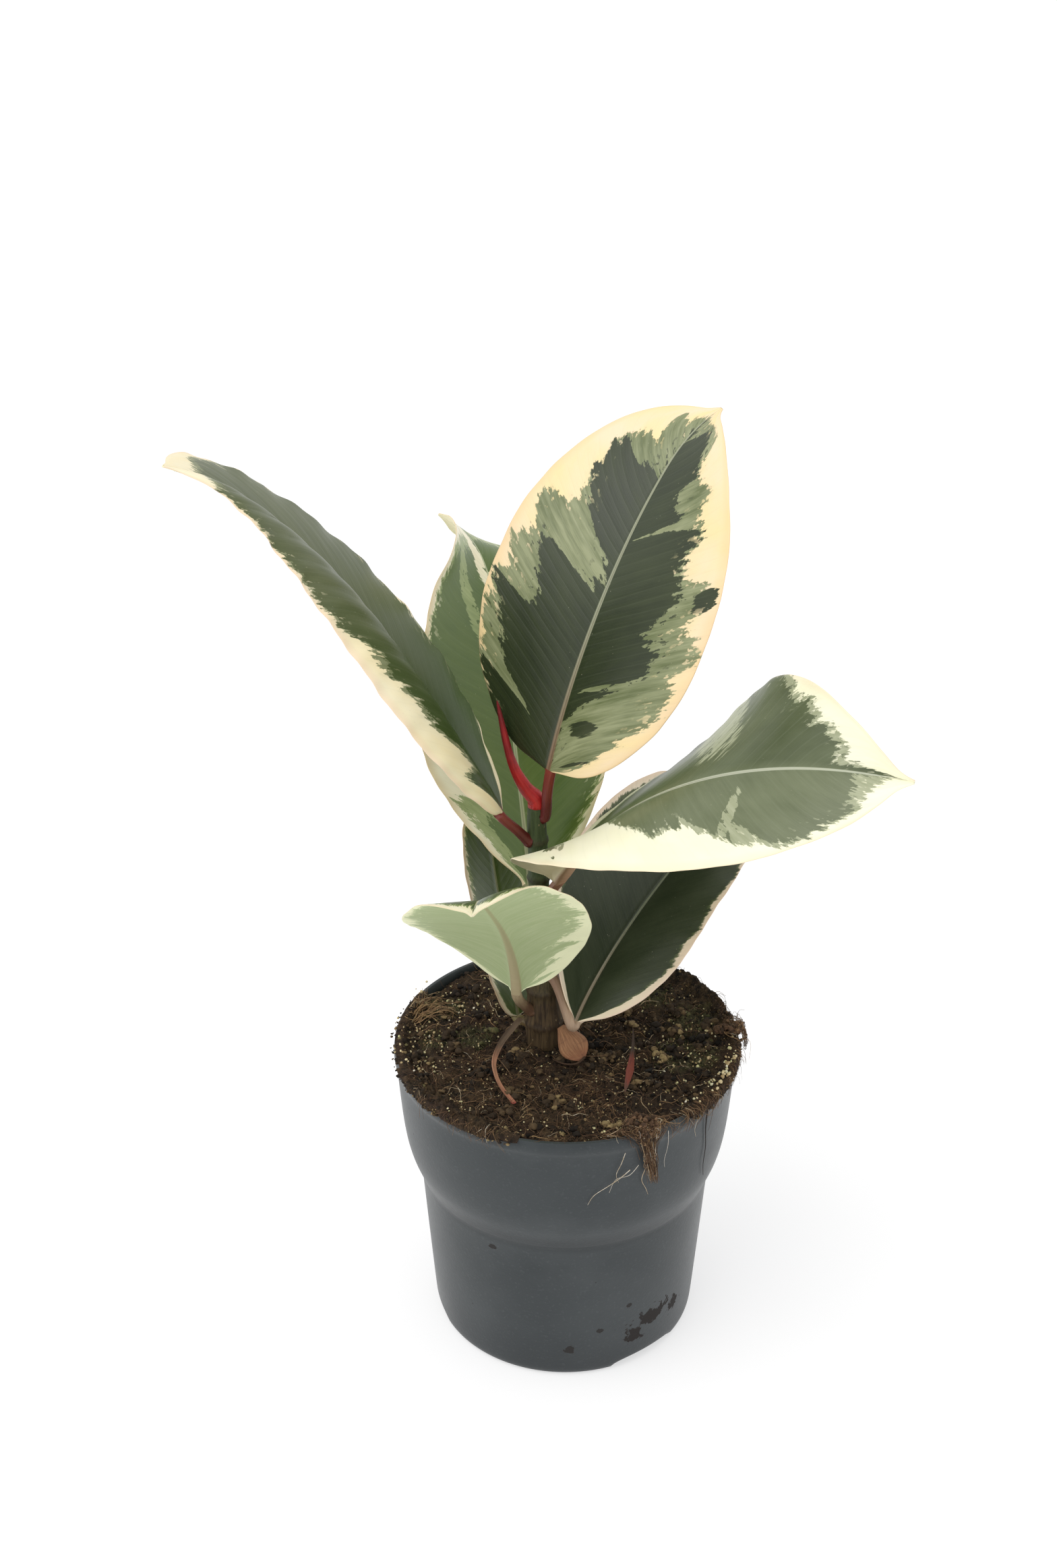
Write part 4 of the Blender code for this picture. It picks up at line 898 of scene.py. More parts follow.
def peat_skin(name, kind):
    g = Graph(name)
    co = g.place()
    x, y, z = g.sep(co)
    n0 = g.noise(co, 60.0, 4.0, .6)
    n1 = g.noise(co, 330.0, 4.0, .65)
    n2 = g.noise(co, 1400.0, 3.0, .6)
    if kind == "soil":
        col = g.mix(g.rng(n1, .36, .64), srgb(28, 22, 16), srgb(78, 62, 44))
        col = g.mix(g.rng(n0, .45, .62, 0, .6), col, srgb(58, 40, 30))
        col = g.mix(g.rng(n2, .56, .70, 0, .55), col, srgb(116, 92, 68))
        # a darker round patch on the peat at the front right (centre x 27, y -30 mm)
        wx, wy = g.sub(g.mul(x, 1000.0), 27.0), g.add(g.mul(y, 1000.0), 30.0)
        darker_patch = g.rng(g.math("SQRT", g.add(g.mul(wx, wx), g.mul(wy, wy))), 9.0, 24.0, .5, 0)
        col = g.mix(darker_patch, col, srgb(32, 24, 20))
        moss = None
        for cx, cy, r in MOSS:
            dx = g.mul(g.sub(g.mul(x, 1000.0), cx), 1 / r)
            dy = g.mul(g.sub(g.mul(y, 1000.0), cy), 1 / r)
            d = g.sub(1.15, g.math("SQRT", g.add(g.mul(dx, dx), g.mul(dy, dy))))
            moss = d if moss is None else g.math("MAXIMUM", moss, d)
        m = g.rng(g.add(moss, g.mul(g.sub(n1, .5), 1.6)), .15, .6, 0, .70)
        col = g.mix(m, col, g.mix(g.rng(n2, .35, .65), srgb(52, 52, 34), srgb(94, 92, 62)))
        pale = g.voronoi(co, 620.0)
        pale = g.mul(g.rng(pale, .16, .08), g.rng(g.noise(co, 120.0, 2.0), .54, .60))
        col = g.mix(g.mul(pale, .8), col, srgb(176, 150, 108))
        # painted shade: on the peat ball the tone follows the relief, so the hollows are painted near black; on the
        # banks the tone is random and this is dark tone
        hollow_shade_and_dark_tone = g.rng(g.add(g.attr("tone", False), g.mul(g.sub(n1, .5), .5)), .22, .58, .82, 0)
        col = g.mix(hollow_shade_and_dark_tone, col, srgb(17, 13, 10))
        g.bump(g.add(g.mul(n1, .6), g.mul(n2, .5)), 1.0, .0016)
    else:
        tone = g.attr("tone", False)
        cr = g.node("ValToRGB")
        ramp = cr.color_ramp
        stops = {
            "crumb": [(0.0, (16, 13, 10)), (.26, (38, 30, 22)), (.50, (68, 54, 39)), (.72, (112, 92, 66)), (.90, (160, 138, 98)), (1.0, (86, 86, 54))],
            "grain": [(0.0, (160, 134, 94)), (.35, (206, 186, 142)), (.65, (232, 218, 176)), (.85, (208, 206, 152)), (1.0, (244, 238, 220))],
            "fibre": [(0.0, (34, 28, 24)), (.25, (68, 52, 40)), (.5, (106, 80, 60)), (.7, (142, 112, 84)), (.85, (180, 146, 104)), (.95, (210, 192, 162)), (1.0, (230, 222, 208))],
            "moss": [(0.0, (38, 38, 24)), (.4, (68, 70, 42)), (.7, (100, 100, 66)), (.9, (146, 142, 98)), (1.0, (184, 176, 130))],
        }[kind]
        while len(ramp.elements) < len(stops):
            ramp.elements.new(0.5)
        for el, (pos, c) in zip(ramp.elements, stops):
            el.position = pos
            el.color = srgb(*c)
        g.put(cr.inputs[0], g.add(tone, g.mul(g.sub(n1, .5), .25)))
        col = g.mix(g.rng(n2, .35, .7, 0, .35), cr.outputs[0], srgb(40, 30, 24) if kind != "grain" else srgb(140, 118, 84))
        g.bump(g.add(n1, g.mul(n2, .6)), .6, .0006)
    return g.set(Base_Color=col, Roughness=g.rng(n1, .3, .7, .78, .95), Specular_IOR_Level=.25)


def make_soil():
    n = 300
    radii = np.concatenate([[0.35], np.linspace(1.2, 56.6, 96)])
    rings = []
    for r in radii:
        row = []
        for k in range(n):
            a = 2 * math.pi * k / n
            x, y = r * math.cos(a), r * math.sin(a)
            row.append((x, y, soil_z(x, y) - .5 * float(sstep((r - 54.5) / 2.2))))
        rings.append(row)
    for r, z in [(57.2, 108.2), (57.1, 104.5), (56.6, 94.0), (55.4, 84.5), (54.1, 77.0), (52.0, 69.5), (50.0, 63.5), (48.0, 38.0), (45.6, 10.0), (43.6, 7.4), (22.0, 5.6)]:
        rings.append([((r + .25 * noise.noise(Vector((6 * math.cos(2 * math.pi * k / n), 6 * math.sin(2 * math.pi * k / n), z * .1)))) * math.cos(2 * math.pi * k / n),
                       (r + .25 * noise.noise(Vector((6 * math.cos(2 * math.pi * k / n), 6 * math.sin(2 * math.pi * k / n), z * .1)))) * math.sin(2 * math.pi * k / n), z)
                      for k in range(n)])
    verts = [p for row in rings for p in row]
    faces = [tuple(reversed(f)) for f in grid_faces(len(rings), n)]
    c0 = len(verts)
    verts.append((0, 0, soil_z(0, 0)))
    c1 = len(verts)
    verts.append((0, 0, 5.6))
    last = (len(rings) - 1) * n
    for k in range(n):
        j = (k + 1) % n
        faces.append((c0, k, j))
        faces.append((c1, last + j, last + k))
    # the tone follows the relief height, so the peat shader paints shade into the low hollows
    tone = [min(1.0, max(0.0, .5 + .42 * rough_top(p[0], p[1]))) for p in verts]
    ob = new_object("peat_ball", verts, faces, [peat_skin("peat_surface", "soil")], {"tone": np.array(tone)})
    bm = bmesh.new()
    bm.from_mesh(ob.data)
    bmesh.ops.recalc_face_normals(bm, faces=bm.faces)
    if bm.calc_volume(signed=True) < 0:
        bmesh.ops.reverse_faces(bm, faces=bm.faces)
    bm.to_mesh(ob.data)
    bm.free()
    ob.data.shade_smooth()
    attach(ob, "root")
    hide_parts("soil")


make_soil()


def near_stem(x, y, d=6.8):
    return math.hypot(x - STEM_XY[0], y - STEM_XY[1]) < d


def scatter(name, mat):
    """Crumbs of peat over the whole top, heaped over the rim at the front left and right."""
    s = Soup()
    shapes = rock_shapes(14, 2, .75, 3.0)
    small = rock_shapes(10, 1, .8, 41.0)

    def crumb(x, y, z, size, tone, squash=.75):
        v, f = (shapes if size > .8 else small)[rnd.randrange(10)]
        m = turn_matrix(rnd)
        sc = np.array([1, rnd.uniform(.6, 1.0), rnd.uniform(.5, .9)]) * size
        s.add((v * sc) @ m.T * np.array([1, 1, squash]) + np.array([x, y, z]), f, tone)

    for _ in range(2300):
        a, r = rnd.uniform(0, 2 * math.pi), 57.0 * math.sqrt(rnd.random())
        x, y = r * math.cos(a), r * math.sin(a)
        if near_stem(x, y):
            continue
        size = min(1.9, rnd.lognormvariate(-.75, .45))
        tone = min(.95, max(0, rnd.gauss(.36, .27)))
        if moss_share(x, y) > 0 and rnd.random() < .4:
            tone = 1.0
        crumb(x, y, soil_z(x, y) + size * .25, size, tone)
    for _ in range(62):
        a, r = rnd.uniform(0, 2 * math.pi), 55.0 * math.sqrt(rnd.random())
        cx, cy = r * math.cos(a), r * math.sin(a)
        tone = min(.85, max(.05, rnd.gauss(.42, .2)))
        for _ in range(rnd.randrange(5, 15)):
            x, y = cx + rnd.gauss(0, 1.6), cy + rnd.gauss(0, 1.6)
            if near_stem(x, y, 8.5) or math.hypot(x, y) > 57:
                continue
            size = rnd.uniform(.6, 1.7)
            crumb(x, y, soil_z(x, y) + size * .3 + rnd.uniform(0, .9), size, min(.9, max(0, tone + rnd.gauss(0, .12))))
    # heaps on the rim: (from, to) compass degrees, how many, how high
    for a0, a1, count, high in ((-160, -108, 520, 2.3), (-46, -8, 420, 2.2), (-8, 34, 420, 2.8), (34, 66, 230, 2.4), (150, 200, 160, 1.0)):
        for _ in range(count):
            u = rnd.random()
            a = math.radians(a0 + (a1 - a0) * u)
            fade = math.sin(math.pi * min(1, max(0, u))) ** .5
            r = 58.6 + rnd.gauss(0, 1.6)
            r = min(r, 61.4)
            size = min(1.5, rnd.lognormvariate(-.75, .4))
            z = POT_H - .4 + abs(rnd.gauss(0, .5)) * high * fade * max(0.15, 1 - abs(r - 57.5) / 4.5)
            if r > 60.3:
                z -= rnd.uniform(0, 1.6)
            crumb(r * math.cos(a), r * math.sin(a), z, size, min(.95, max(0, rnd.gauss(.46, .25))))
    ob = s.make(name, mat)
    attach(ob, "root")


scatter("peat_crumbs", peat_skin("peat_crumb_skin", "crumb"))


def banks():
    """Heaped peat that rides up over the rim: a continuous lumpy ridge under the loose crumbs."""
    verts, faces = [], []
    for a0, a1, r_in, r_out, high in ((-163, -106, 51.5, 61.3, 2.6), (-48, 68, 52.5, 61.4, 2.5), (150, 200, 52.5, 60.0, 1.1)):
        rows, cols = int(abs(a1 - a0) * 3), 26
        start = len(verts)
        for i in range(rows):
            u = i / (rows - 1)
            a = math.radians(a0 + (a1 - a0) * u)
            fade = min(1.0, math.sin(math.pi * u) * 2.2) if 0 < u < 1 else 0.0
            top, low = [], []
            for j in range(cols):
                q = j / (cols - 1)
                wob = 1.6 * noise.noise(Vector((a * 9, 2.0, 4.0)))
                r = r_in + (r_out + min(0.0, wob) * .9 - r_in) * q
                x, y = r * math.cos(a), r * math.sin(a)
                ground = soil_z(x, y) if r < 56.5 else POT_H + .16
                if 55.0 < r < 57.5:
                    f = float(sstep((r - 55.0) / 2.5))
                    ground = soil_z(x * .97, y * .97) * (1 - f) + (POT_H + .16) * f
                lump = .55 + .9 * noise.noise(Vector((x * .16, y * .16, 1))) + .7 * noise.noise(Vector((x * .45, y * .45, 3))) \
                    + .45 * noise.noise(Vector((x * 1.2, y * 1.2, 5))) + .25 * noise.noise(Vector((x * 2.6, y * 2.6, 5)))
                shape = math.sin(math.pi * min(1, q ** 1.35)) ** .55 if 0 < q < 1 else 0.0
                up = max(.02, high * fade * shape * max(.12, lump))
                drop = 1.3 * max(0.0, q - .86) / .14 * fade if r > 60.4 else 0.0
                top.append((x, y, ground + up - drop))
                low.append((x, y, ground - .35 - drop))
            verts += top + low[::-1]
        n = 2 * cols
        faces += [tuple(reversed(f)) for f in grid_faces(rows, n, start)]
        faces.append(tuple(range(start, start + n)))
        faces.append(tuple(reversed(range(start + (rows - 1) * n, start + rows * n))))
    tone = [min(1.0, max(0.0, .55 + .5 * noise.noise(Vector((p[0] * .5, p[1] * .5, p[2] * .5))) + .25 * noise.noise(Vector((p[0] * 1.4, p[1] * 1.4, 3))))) for p in verts]
    ob = new_object("peat_banks", verts, faces, [peat_skin("peat_bank_skin", "soil")], {"tone": np.array(tone)})
    bm = bmesh.new()
    bm.from_mesh(ob.data)
    bmesh.ops.recalc_face_normals(bm, faces=bm.faces)
    bm.to_mesh(ob.data)
    bm.free()
    ob.data.shade_smooth()
    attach(ob, "root")


banks()


def grains():
    s = Soup()
    shapes = rock_shapes(8, 1, .5, 77.0)

    def put(x, y, size, tone, dz=0.0):
        v, f = shapes[rnd.randrange(8)]
        z = soil_z(x, y) if math.hypot(x, y) < 57 else POT_H + .6
        s.add((v * size * np.array([1, rnd.uniform(.7, 1), rnd.uniform(.6, .9)])) @ turn_matrix(rnd).T
              + np.array([x, y, z + size * .5 + dz]), f, tone)

    for _ in range(760):
        a, r = rnd.uniform(0, 2 * math.pi), 56.5 * math.sqrt(rnd.random())
        x, y = r * math.cos(a), r * math.sin(a)
        if not near_stem(x, y):
            put(x, y, rnd.uniform(.18, .46), rnd.random() * .8, .15)
    for cx, cy, spread, count, big in ((2.6, -37.0, 1.7, 26, .75), (51.5, -25.0, 2.4, 30, .85), (47, -31, 2.5, 16, .7), (50, -12, 3.0, 14, .9),
                                       (43, -6, 9.0, 90, .55), (55, -16, 3.0, 30, .8), (56, 2, 3.0, 22, .7), (-43, 24, 7.0, 50, .65), (-51, 4, 5.0, 60, .6), (-53, -12, 4.0, 40, .6), (-33, 20, 5.0, 26, .55),
                                       (-47, -14, 5.0, 18, .6), (14, -49, 4.0, 14, .6), (38, -34, 5.0, 18, .7), (-30, -38, 8, 14, .5)):
        for _ in range(count):
            x, y = rnd.gauss(cx, spread), rnd.gauss(cy, spread)
            if math.hypot(x, y) < 60.5 and not near_stem(x, y):
                put(x, y, rnd.uniform(.25, big), rnd.random(), rnd.uniform(.1, .6) + (1.6 if math.hypot(x, y) > 56 else 0))
    ob = s.make("sand_grains", peat_skin("sand_grain_skin", "grain"))
    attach(ob, "root")


grains()


def wander(x, y, z, heading, length, lift, curl, n=6, follow=True):
    """Points of a loose fibre that lies along the surface and bows up from it."""
    pts = []
    step = length / (n - 1)
    for i in range(n):
        f = i / (n - 1)
        base = soil_z(x, y) if follow and math.hypot(x, y) < 57.0 else z
        pts.append((x, y, base + .15 + lift * math.sin(math.pi * f) + rnd.uniform(-.15, .25)))
        heading += rnd.gauss(0, curl)
        x += step * math.cos(heading)
        y += step * math.sin(heading)
    return pts


def fibres():
    s = Soup()
    for _ in range(1150):
        a, r = rnd.uniform(0, 2 * math.pi), 55.5 * math.sqrt(rnd.random())
        x, y = r * math.cos(a), r * math.sin(a)
        if near_stem(x, y, 8.0):
            continue
        front = y < -18
        length = rnd.uniform(3, 13 if front else 9)
        pts = wander(x, y, POT_H + .3, rnd.uniform(0, 6.28), length, abs(rnd.gauss(0, .8)), .45)
        pts = [q for q in pts if math.hypot(q[0], q[1]) < 60.5]
        if len(pts) < 3:
            continue
        rad = rnd.uniform(.06, .16)
        tone = min(.95, max(.05, rnd.gauss(.52 if front else .44, .24)))
        s.fibre(pts, rad, rad * .5, tone, 3, 9)
    # reddish felt of fine roots at the front
    for _ in range(520):
        a = math.radians(rnd.uniform(-165, -60))
        r = rnd.uniform(24, 58)
        x, y = r * math.cos(a), r * math.sin(a)
        pts = wander(x, y, POT_H + .8, rnd.uniform(0, 6.28), rnd.uniform(4, 12), rnd.uniform(.4, 1.8), .7, 7)
        rad = rnd.uniform(.04, .10)
        s.fibre([q for q in pts if math.hypot(q[0], q[1]) < 60.8] or pts, rad, rad * .6, min(.95, max(.1, rnd.gauss(.52, .15))), 3, 10) if len(
            [q for q in pts if math.hypot(q[0], q[1]) < 60.8]) > 2 else None
    # tan bundle at the back left edge
    for _ in range(52):
        x, y = -54 + rnd.gauss(0, 1.3), 15 + rnd.gauss(0, 3.4)
        pts = wander(x, y, POT_H + .3, math.radians(rnd.gauss(52, 15)), rnd.uniform(8, 21), rnd.uniform(.8, 3.2), .22, 7)
        pts = [q for q in pts if math.hypot(q[0], q[1]) < 58.5]
        if len(pts) > 2:
            s.fibre([(q[0], q[1], q[2] + .7) for q in pts], .15, .06, rnd.uniform(.66, .92), 3, 12)
    # edge tufts that stick out over the rim on the right and at the back right
    for a0, a1, count in ((-30, 30, 120), (30, 66, 46), (-160, -120, 40), (-50, -30, 50)):
        for _ in range(count):
            a = math.radians(rnd.uniform(a0, a1))
            r = rnd.uniform(55.5, 60)
            d = np.array([math.cos(a), math.sin(a), 0])
            t = np.array([-math.sin(a), math.cos(a), 0])
            p = d * r + np.array([0, 0, POT_H + rnd.uniform(-.3, 1.6)])
            L = rnd.uniform(1.5, 5.5)
            k = rnd.gauss(0, .7)
            pts = [p, p + d * L * .4 + t * L * k * .3 + np.array([0, 0, L * rnd.uniform(.0, .35)]),
                   p + d * L * .75 + t * L * k * .8 + np.array([0, 0, L * rnd.uniform(-.5, .3)]),
                   p + d * L * .8 + t * L * k * 1.2 + np.array([0, 0, L * rnd.uniform(-1.1, .1)])]
            rad = rnd.uniform(.05, .12)
            s.fibre(pts, rad, rad * .4, min(.95, max(.1, rnd.gauss(.5, .2))), 3, 9)
    # a dead curled shred below the papery sheath, loose threads beside it
    s.fibre([(6.4, -13.0, 114.4), (3.4, -15.2, 113.2), (-1.0, -14.8, 112.9), (-4.6, -12.8, 113.3)], .50, .16, .30, 6, 22)
    s.fibre([(4.6, -11.0, 113.6), (9.0, -12.2, 114.2), (14.2, -10.6, 113.4)], .14, .08, .62, 4, 14)
    s.fibre([(-19.0, -21.0, 112.4), (-24.0, -13.0, 114.0), (-30.0, -10.0, 113.2)], .12, .06, .7, 4, 14)
    s.fibre([(13.0, -22.0, 112.2), (20.0, -27.0, 113.4), (27.0, -24.0, 112.8)], .12, .06, .66, 4, 14)
    ob = s.make("peat_fibres", peat_skin("peat_fibre_skin", "fibre"))
    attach(ob, "root")


fibres()


def moss():
    s = Soup()
    for cx, cy, r in MOSS:
        for _ in range(int(2.6 * r * r)):
            a, q = rnd.uniform(0, 2 * math.pi), r * math.sqrt(rnd.random())
            x, y = cx + q * math.cos(a), cy + q * math.sin(a)
            if math.hypot(x, y) > 57.5 or near_stem(x, y) or noise.noise(Vector((x * .22, y * .22, 4))) < -.12:
                continue
            z = soil_z(x, y)
            L = rnd.uniform(.6, 1.9)
            b = rnd.uniform(0, 6.28)
            lean = rnd.uniform(.2, 1.0) * L
            pts = [(x, y, z - .2), (x + lean * .4 * math.cos(b), y + lean * .4 * math.sin(b), z + L * .55),
                   (x + lean * math.cos(b), y + lean * math.sin(b), z + L * rnd.uniform(.6, 1.0))]
            s.fibre(pts, .15, .04, min(1, max(0, rnd.gauss(.48, .24))), 3, 4)
    ob = s.make("moss", peat_skin("moss_skin", "moss"))
    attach(ob, "root")


moss()


# ------------------------------------------------------------------ root clumps that hang over the rim
def outside(a, z, off):
    """A point just outside the pot wall."""
    r = (outer_radius(min(z, 111.0)) if z < 112 else RIM_R) + off
    return np.array([r * math.cos(a), r * math.sin(a), z])


def clump(node, name, angle, path, widths, crumbs, strands, extra):
    s = Soup()
    a = math.radians(angle)
    rad, tang = np.array([math.cos(a), math.sin(a), 0]), np.array([-math.sin(a), math.cos(a), 0])
    line = spline([rad * r + np.array([0, 0, z]) + tang * k for r, z, k in path], 60)
    shapes = rock_shapes(8, 2, .8, 91.0)
    for _ in range(crumbs):
        t = min(.999, abs(rnd.gauss(.34, .24)))
        c = line[int(t * 59)]
        w = float(table(widths, t))
        size = rnd.uniform(.3, 1.2) * (1 - .62 * t)
        off = rnd.uniform(-.2, 1.2)
        p = c + tang * rnd.uniform(-1, 1) * w * .8 + rad * off * (1 if t > .3 else .3) + np.array([0, 0, off if t < .35 else 0])
        v, f = shapes[rnd.randrange(8)]
        s.add((v * size * np.array([1, .8, .7])) @ turn_matrix(rnd).T + p, f, min(.8, max(.05, rnd.gauss(.42, .16))))
    for _ in range(strands):
        t0, k = rnd.uniform(0, .75), rnd.uniform(-1, 1)
        t1 = min(1, t0 + rnd.uniform(.12, .5))
        pts = []
        for i in range(6):
            t = t0 + (t1 - t0) * i / 5
            c = line[int(t * 59)]
            w = float(table(widths, t))
            k += rnd.gauss(0, .28)
            pts.append(c + tang * k * w + rad * rnd.uniform(.1, 1.5) + np.array([0, 0, rnd.uniform(-.6, .8)]))
        r0 = rnd.uniform(.05, .15)
        s.fibre(pts, r0, r0 * .5, min(.97, max(.1, rnd.gauss(.56, .22))), 3, 12)
    for (pts, r0, tone) in extra:
        s.fibre([outside(math.radians(q[0]), q[1], q[2]) for q in pts], r0, r0 * .35, tone, 4, 26)
    ob = s.make(name, peat_skin(name + "_skin", "fibre"))
    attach(ob, "root")
    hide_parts(node)


front_extra = [
    ([(-70, 100, 1.2), (-73, 97, .9), (-77, 94.5, 1.2), (-81.5, 90.5, .6), (-83.5, 86.5, .7)], .16, .97),
    ([(-67, 101, 1.0), (-70, 97.5, 1.0), (-74.5, 96.5, .8), (-76.5, 91.0, .7)], .12, .99),
    ([(-64.5, 99, 1.2), (-65.5, 94, 1.0), (-63.5, 89, .8), (-62.5, 86, .8)], .13, .92),
    ([(-72, 108, 1.0), (-73, 103, .8), (-74.5, 99, 1.0), (-73.5, 95, .7)], .13, .96),
    ([(-57, 112, .8), (-56.2, 105, .6), (-57.2, 99, .7), (-56.6, 95.5, .5)], .12, .99),
    ([(-44, 111, .8), (-44.5, 106, .6), (-43.6, 102, .7)], .10, .97),
    ([(-60, 113.5, .8), (-62, 109, .8), (-60.5, 104.5, .7)], .12, .6),
    ([(-39, 112.5, .6), (-38.2, 103, .5), (-36.6, 93, .5), (-36.8, 86, .6), (-35.0, 79, .6)], .26, .02),
    ([(-36, 112.5, .6), (-35.4, 106, .8), (-36.4, 100, .7)], .12, .45),
]
clump("root_clump_front", "root_tuft_front", -66.0,
      [(52.0, 114.8, 0.0), (57.0, 116.2, 0.4), (60.8, 115.0, 0.9), (61.9, 110.0, 1.4), (61.2, 102.0, 2.6), (60.3, 93.0, 4.2)],
      [(0, 2.6), (0.25, 6.8), (0.45, 4.2), (0.62, 1.7), (1, 1.1)], 150, 360, front_extra)
right_extra = [
    ([(4, 114.5, 1.0), (6, 115.2, 3.2), (9, 113.5, 4.2)], .10, .45),
    ([(-2, 114.5, 1.0), (-4, 115.5, 3.6), (-3, 112.0, 4.6), (-5, 108.0, 4.4)], .09, .8),
    ([(8, 115.5, .6), (10, 117.5, 2.4), (9, 118.2, 4.0)], .09, .4),
    ([(-8, 114, .8), (-7, 110, 1.6), (-9, 106, 1.4)], .10, .6),
]
clump("root_clump_right", "root_tuft_right", 2.0,
      [(52.5, 115.0, 0.0), (57.5, 116.4, 0.4), (61.2, 115.8, 0.8), (62.6, 112.0, 1.0), (62.6, 107.0, 0.4)],
      [(0, 1.4), (0.3, 4.6), (0.6, 4.2), (1, 0.8)], 120, 120, right_extra)


def fringe():
    """Fine root ends that hang over the rim between the two clumps."""
    s = Soup()
    for _ in range(190):
        a = math.radians(rnd.choice([rnd.uniform(-62, -30), rnd.uniform(-50, -34), rnd.uniform(-34, -5), rnd.uniform(-132, -112)]))
        L = rnd.uniform(1.5, 7.0)
        k = rnd.gauss(0, .035)
        z0 = POT_H + rnd.uniform(.2, 1.2)
        pts = [outside(a, z0 + .3, -3.0), outside(a + k * .3, z0 + .5, .2), outside(a + k, z0 - L * .45, .6 + rnd.uniform(0, .8)),
               outside(a + k * 1.8, z0 - L, .3 + rnd.uniform(0, .9))]
        r0 = rnd.uniform(.05, .12)
        s.fibre(pts, r0, r0 * .4, min(.97, max(.1, rnd.gauss(.52, .2))), 3, 10)
    ob = s.make("root_fringe", peat_skin("root_fringe_skin", "fibre"))
    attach(ob, "root")


fringe()


# ------------------------------------------------------------------ stem
def stem_skin():
    g = Graph("stem_bark_skin")
    co = g.place()
    x, y, z = g.sep(co)
    lines = g.noise(g.vec(g.mul(x, 900.0), g.mul(y, 900.0), g.mul(z, 55.0)), 1.0, 4.0, .65)
    patch = g.noise(co, 130.0, 3.0, .55)
    h = g.add(z, g.mul(g.sub(patch, .5), .022))
    low = g.mix(g.rng(lines, .36, .64), srgb(48, 36, 22), srgb(98, 80, 54))
    mid = g.mix(g.rng(lines, .36, .64), srgb(62, 58, 32), srgb(94, 88, 54))
    top = g.mix(g.rng(lines, .36, .64), srgb(48, 62, 34), srgb(70, 84, 50))
    col = g.mix(g.rng(h, .128, .144), low, mid)
    col = g.mix(g.rng(h, .156, .178), col, top)
    ringv = None
    for nz in NODE_Z:
        d = g.rng(g.math("ABSOLUTE", g.sub(z, nz * MM)), .0016, .0004)
        ringv = d if ringv is None else g.math("MAXIMUM", ringv, d)
    col = g.mix(g.mul(ringv, .45), col, srgb(58, 44, 32))
    spk = g.mul(g.rng(g.voronoi(g.vec(g.mul(x, 600.0), g.mul(y, 600.0), g.mul(z, 330.0)), 1.0), .18, .10), g.rng(patch, .5, .58))
    col = g.mix(g.mul(spk, .6), col, srgb(158, 140, 104))
    g.bump(g.add(g.mul(lines, .8), g.mul(spk, .4)), .7, .0008)
    return g.set(Base_Color=col, Roughness=g.rng(lines, .3, .7, .50, .72), Specular_IOR_Level=.4)


def make_stem():
    n = 72
    zs = np.concatenate([np.arange(82, 205.5, .8), [205.6, 206.0]])
    rows = []
    for z in zs:
        base = stem_radius(z)
        rough = float(np.interp(z, [82, 112, 128, 150, 206], [.30, .30, .20, .09, .04]))
        c = stem_axis(z)
        row = []
        for k in range(n):
            a = 2 * math.pi * k / n
            ridge = noise.noise(Vector((math.cos(a) * 3.2, math.sin(a) * 3.2, z * .045))) \
                + .5 * noise.noise(Vector((math.cos(a) * 8, math.sin(a) * 8, z * .06 + 5)))
            scar = 0.0
            for i, nz in enumerate(NODE_Z):
                scar += .22 * math.exp(-((z - nz - .8 * math.sin(a + 2.4 * i)) / .8) ** 2)
            r = base + ridge * rough * 1.6 + scar - (.9 if z > 205.8 else .25 if z > 205.2 else 0)
            row.append((c[0] + r * math.cos(a), c[1] + r * math.sin(a), z))
        rows.append(row)
    verts = [p for row in rows for p in row]
    faces = grid_faces(len(rows), n)
    faces.append(tuple(reversed(range(n))))
    last = (len(rows) - 1) * n
    faces.append(tuple(last + j for j in range(n)))
    ob = new_object("stem_wood", verts, faces, [stem_skin()], sharp=50)
    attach(ob, "root")
    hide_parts("stem")


make_stem()


# ------------------------------------------------------------------ bud sheath and dry remnants
def ribbon(node, name, pts, radii, mat, n=36, steps=90, flat=lambda t: 1.0, up=(0, 0, 1), cup=0.0, twist=lambda t: 0.0, ridges=0.0):
    line = spline(pts, steps)
    d = unit(np.gradient(line, axis=0))
    rows, attr = [], []
    for i in range(steps):
        t = i / (steps - 1)
        u = unit(np.cross(d[i], np.array(up, float)))
        v = np.cross(u, d[i])
        tw = twist(t)
        u, v = u * math.cos(tw) + v * math.sin(tw), v * math.cos(tw) - u * math.sin(tw)
        r = float(table(radii, t))
        for k in range(n):
            a = 2 * math.pi * k / n
            rr = 1 + ridges * math.sin(6 * a + 2 * t)
            x, y = r * rr * math.cos(a), r * flat(t) * rr * math.sin(a)
            y += cup * r * (math.cos(a) ** 2 - .5)
            rows.append(line[i] + u * x + v * y)
            attr.append((math.cos(a), t, math.sin(a)))
    faces = grid_faces(steps, n)
    faces.append(tuple(reversed(range(n))))
    last = (steps - 1) * n
    faces.append(tuple(last + j for j in range(n)))
    ob = new_object(name, rows, faces, [mat], {"along": np.array(attr)})
    bm = bmesh.new()
    bm.from_mesh(ob.data)
    if bm.calc_volume(signed=True) < 0:
        bmesh.ops.reverse_faces(bm, faces=bm.faces)
    bm.to_mesh(ob.data)
    bm.free()
    ob.data.shade_smooth()
    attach(ob, "root")
    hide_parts(node)
    return ob


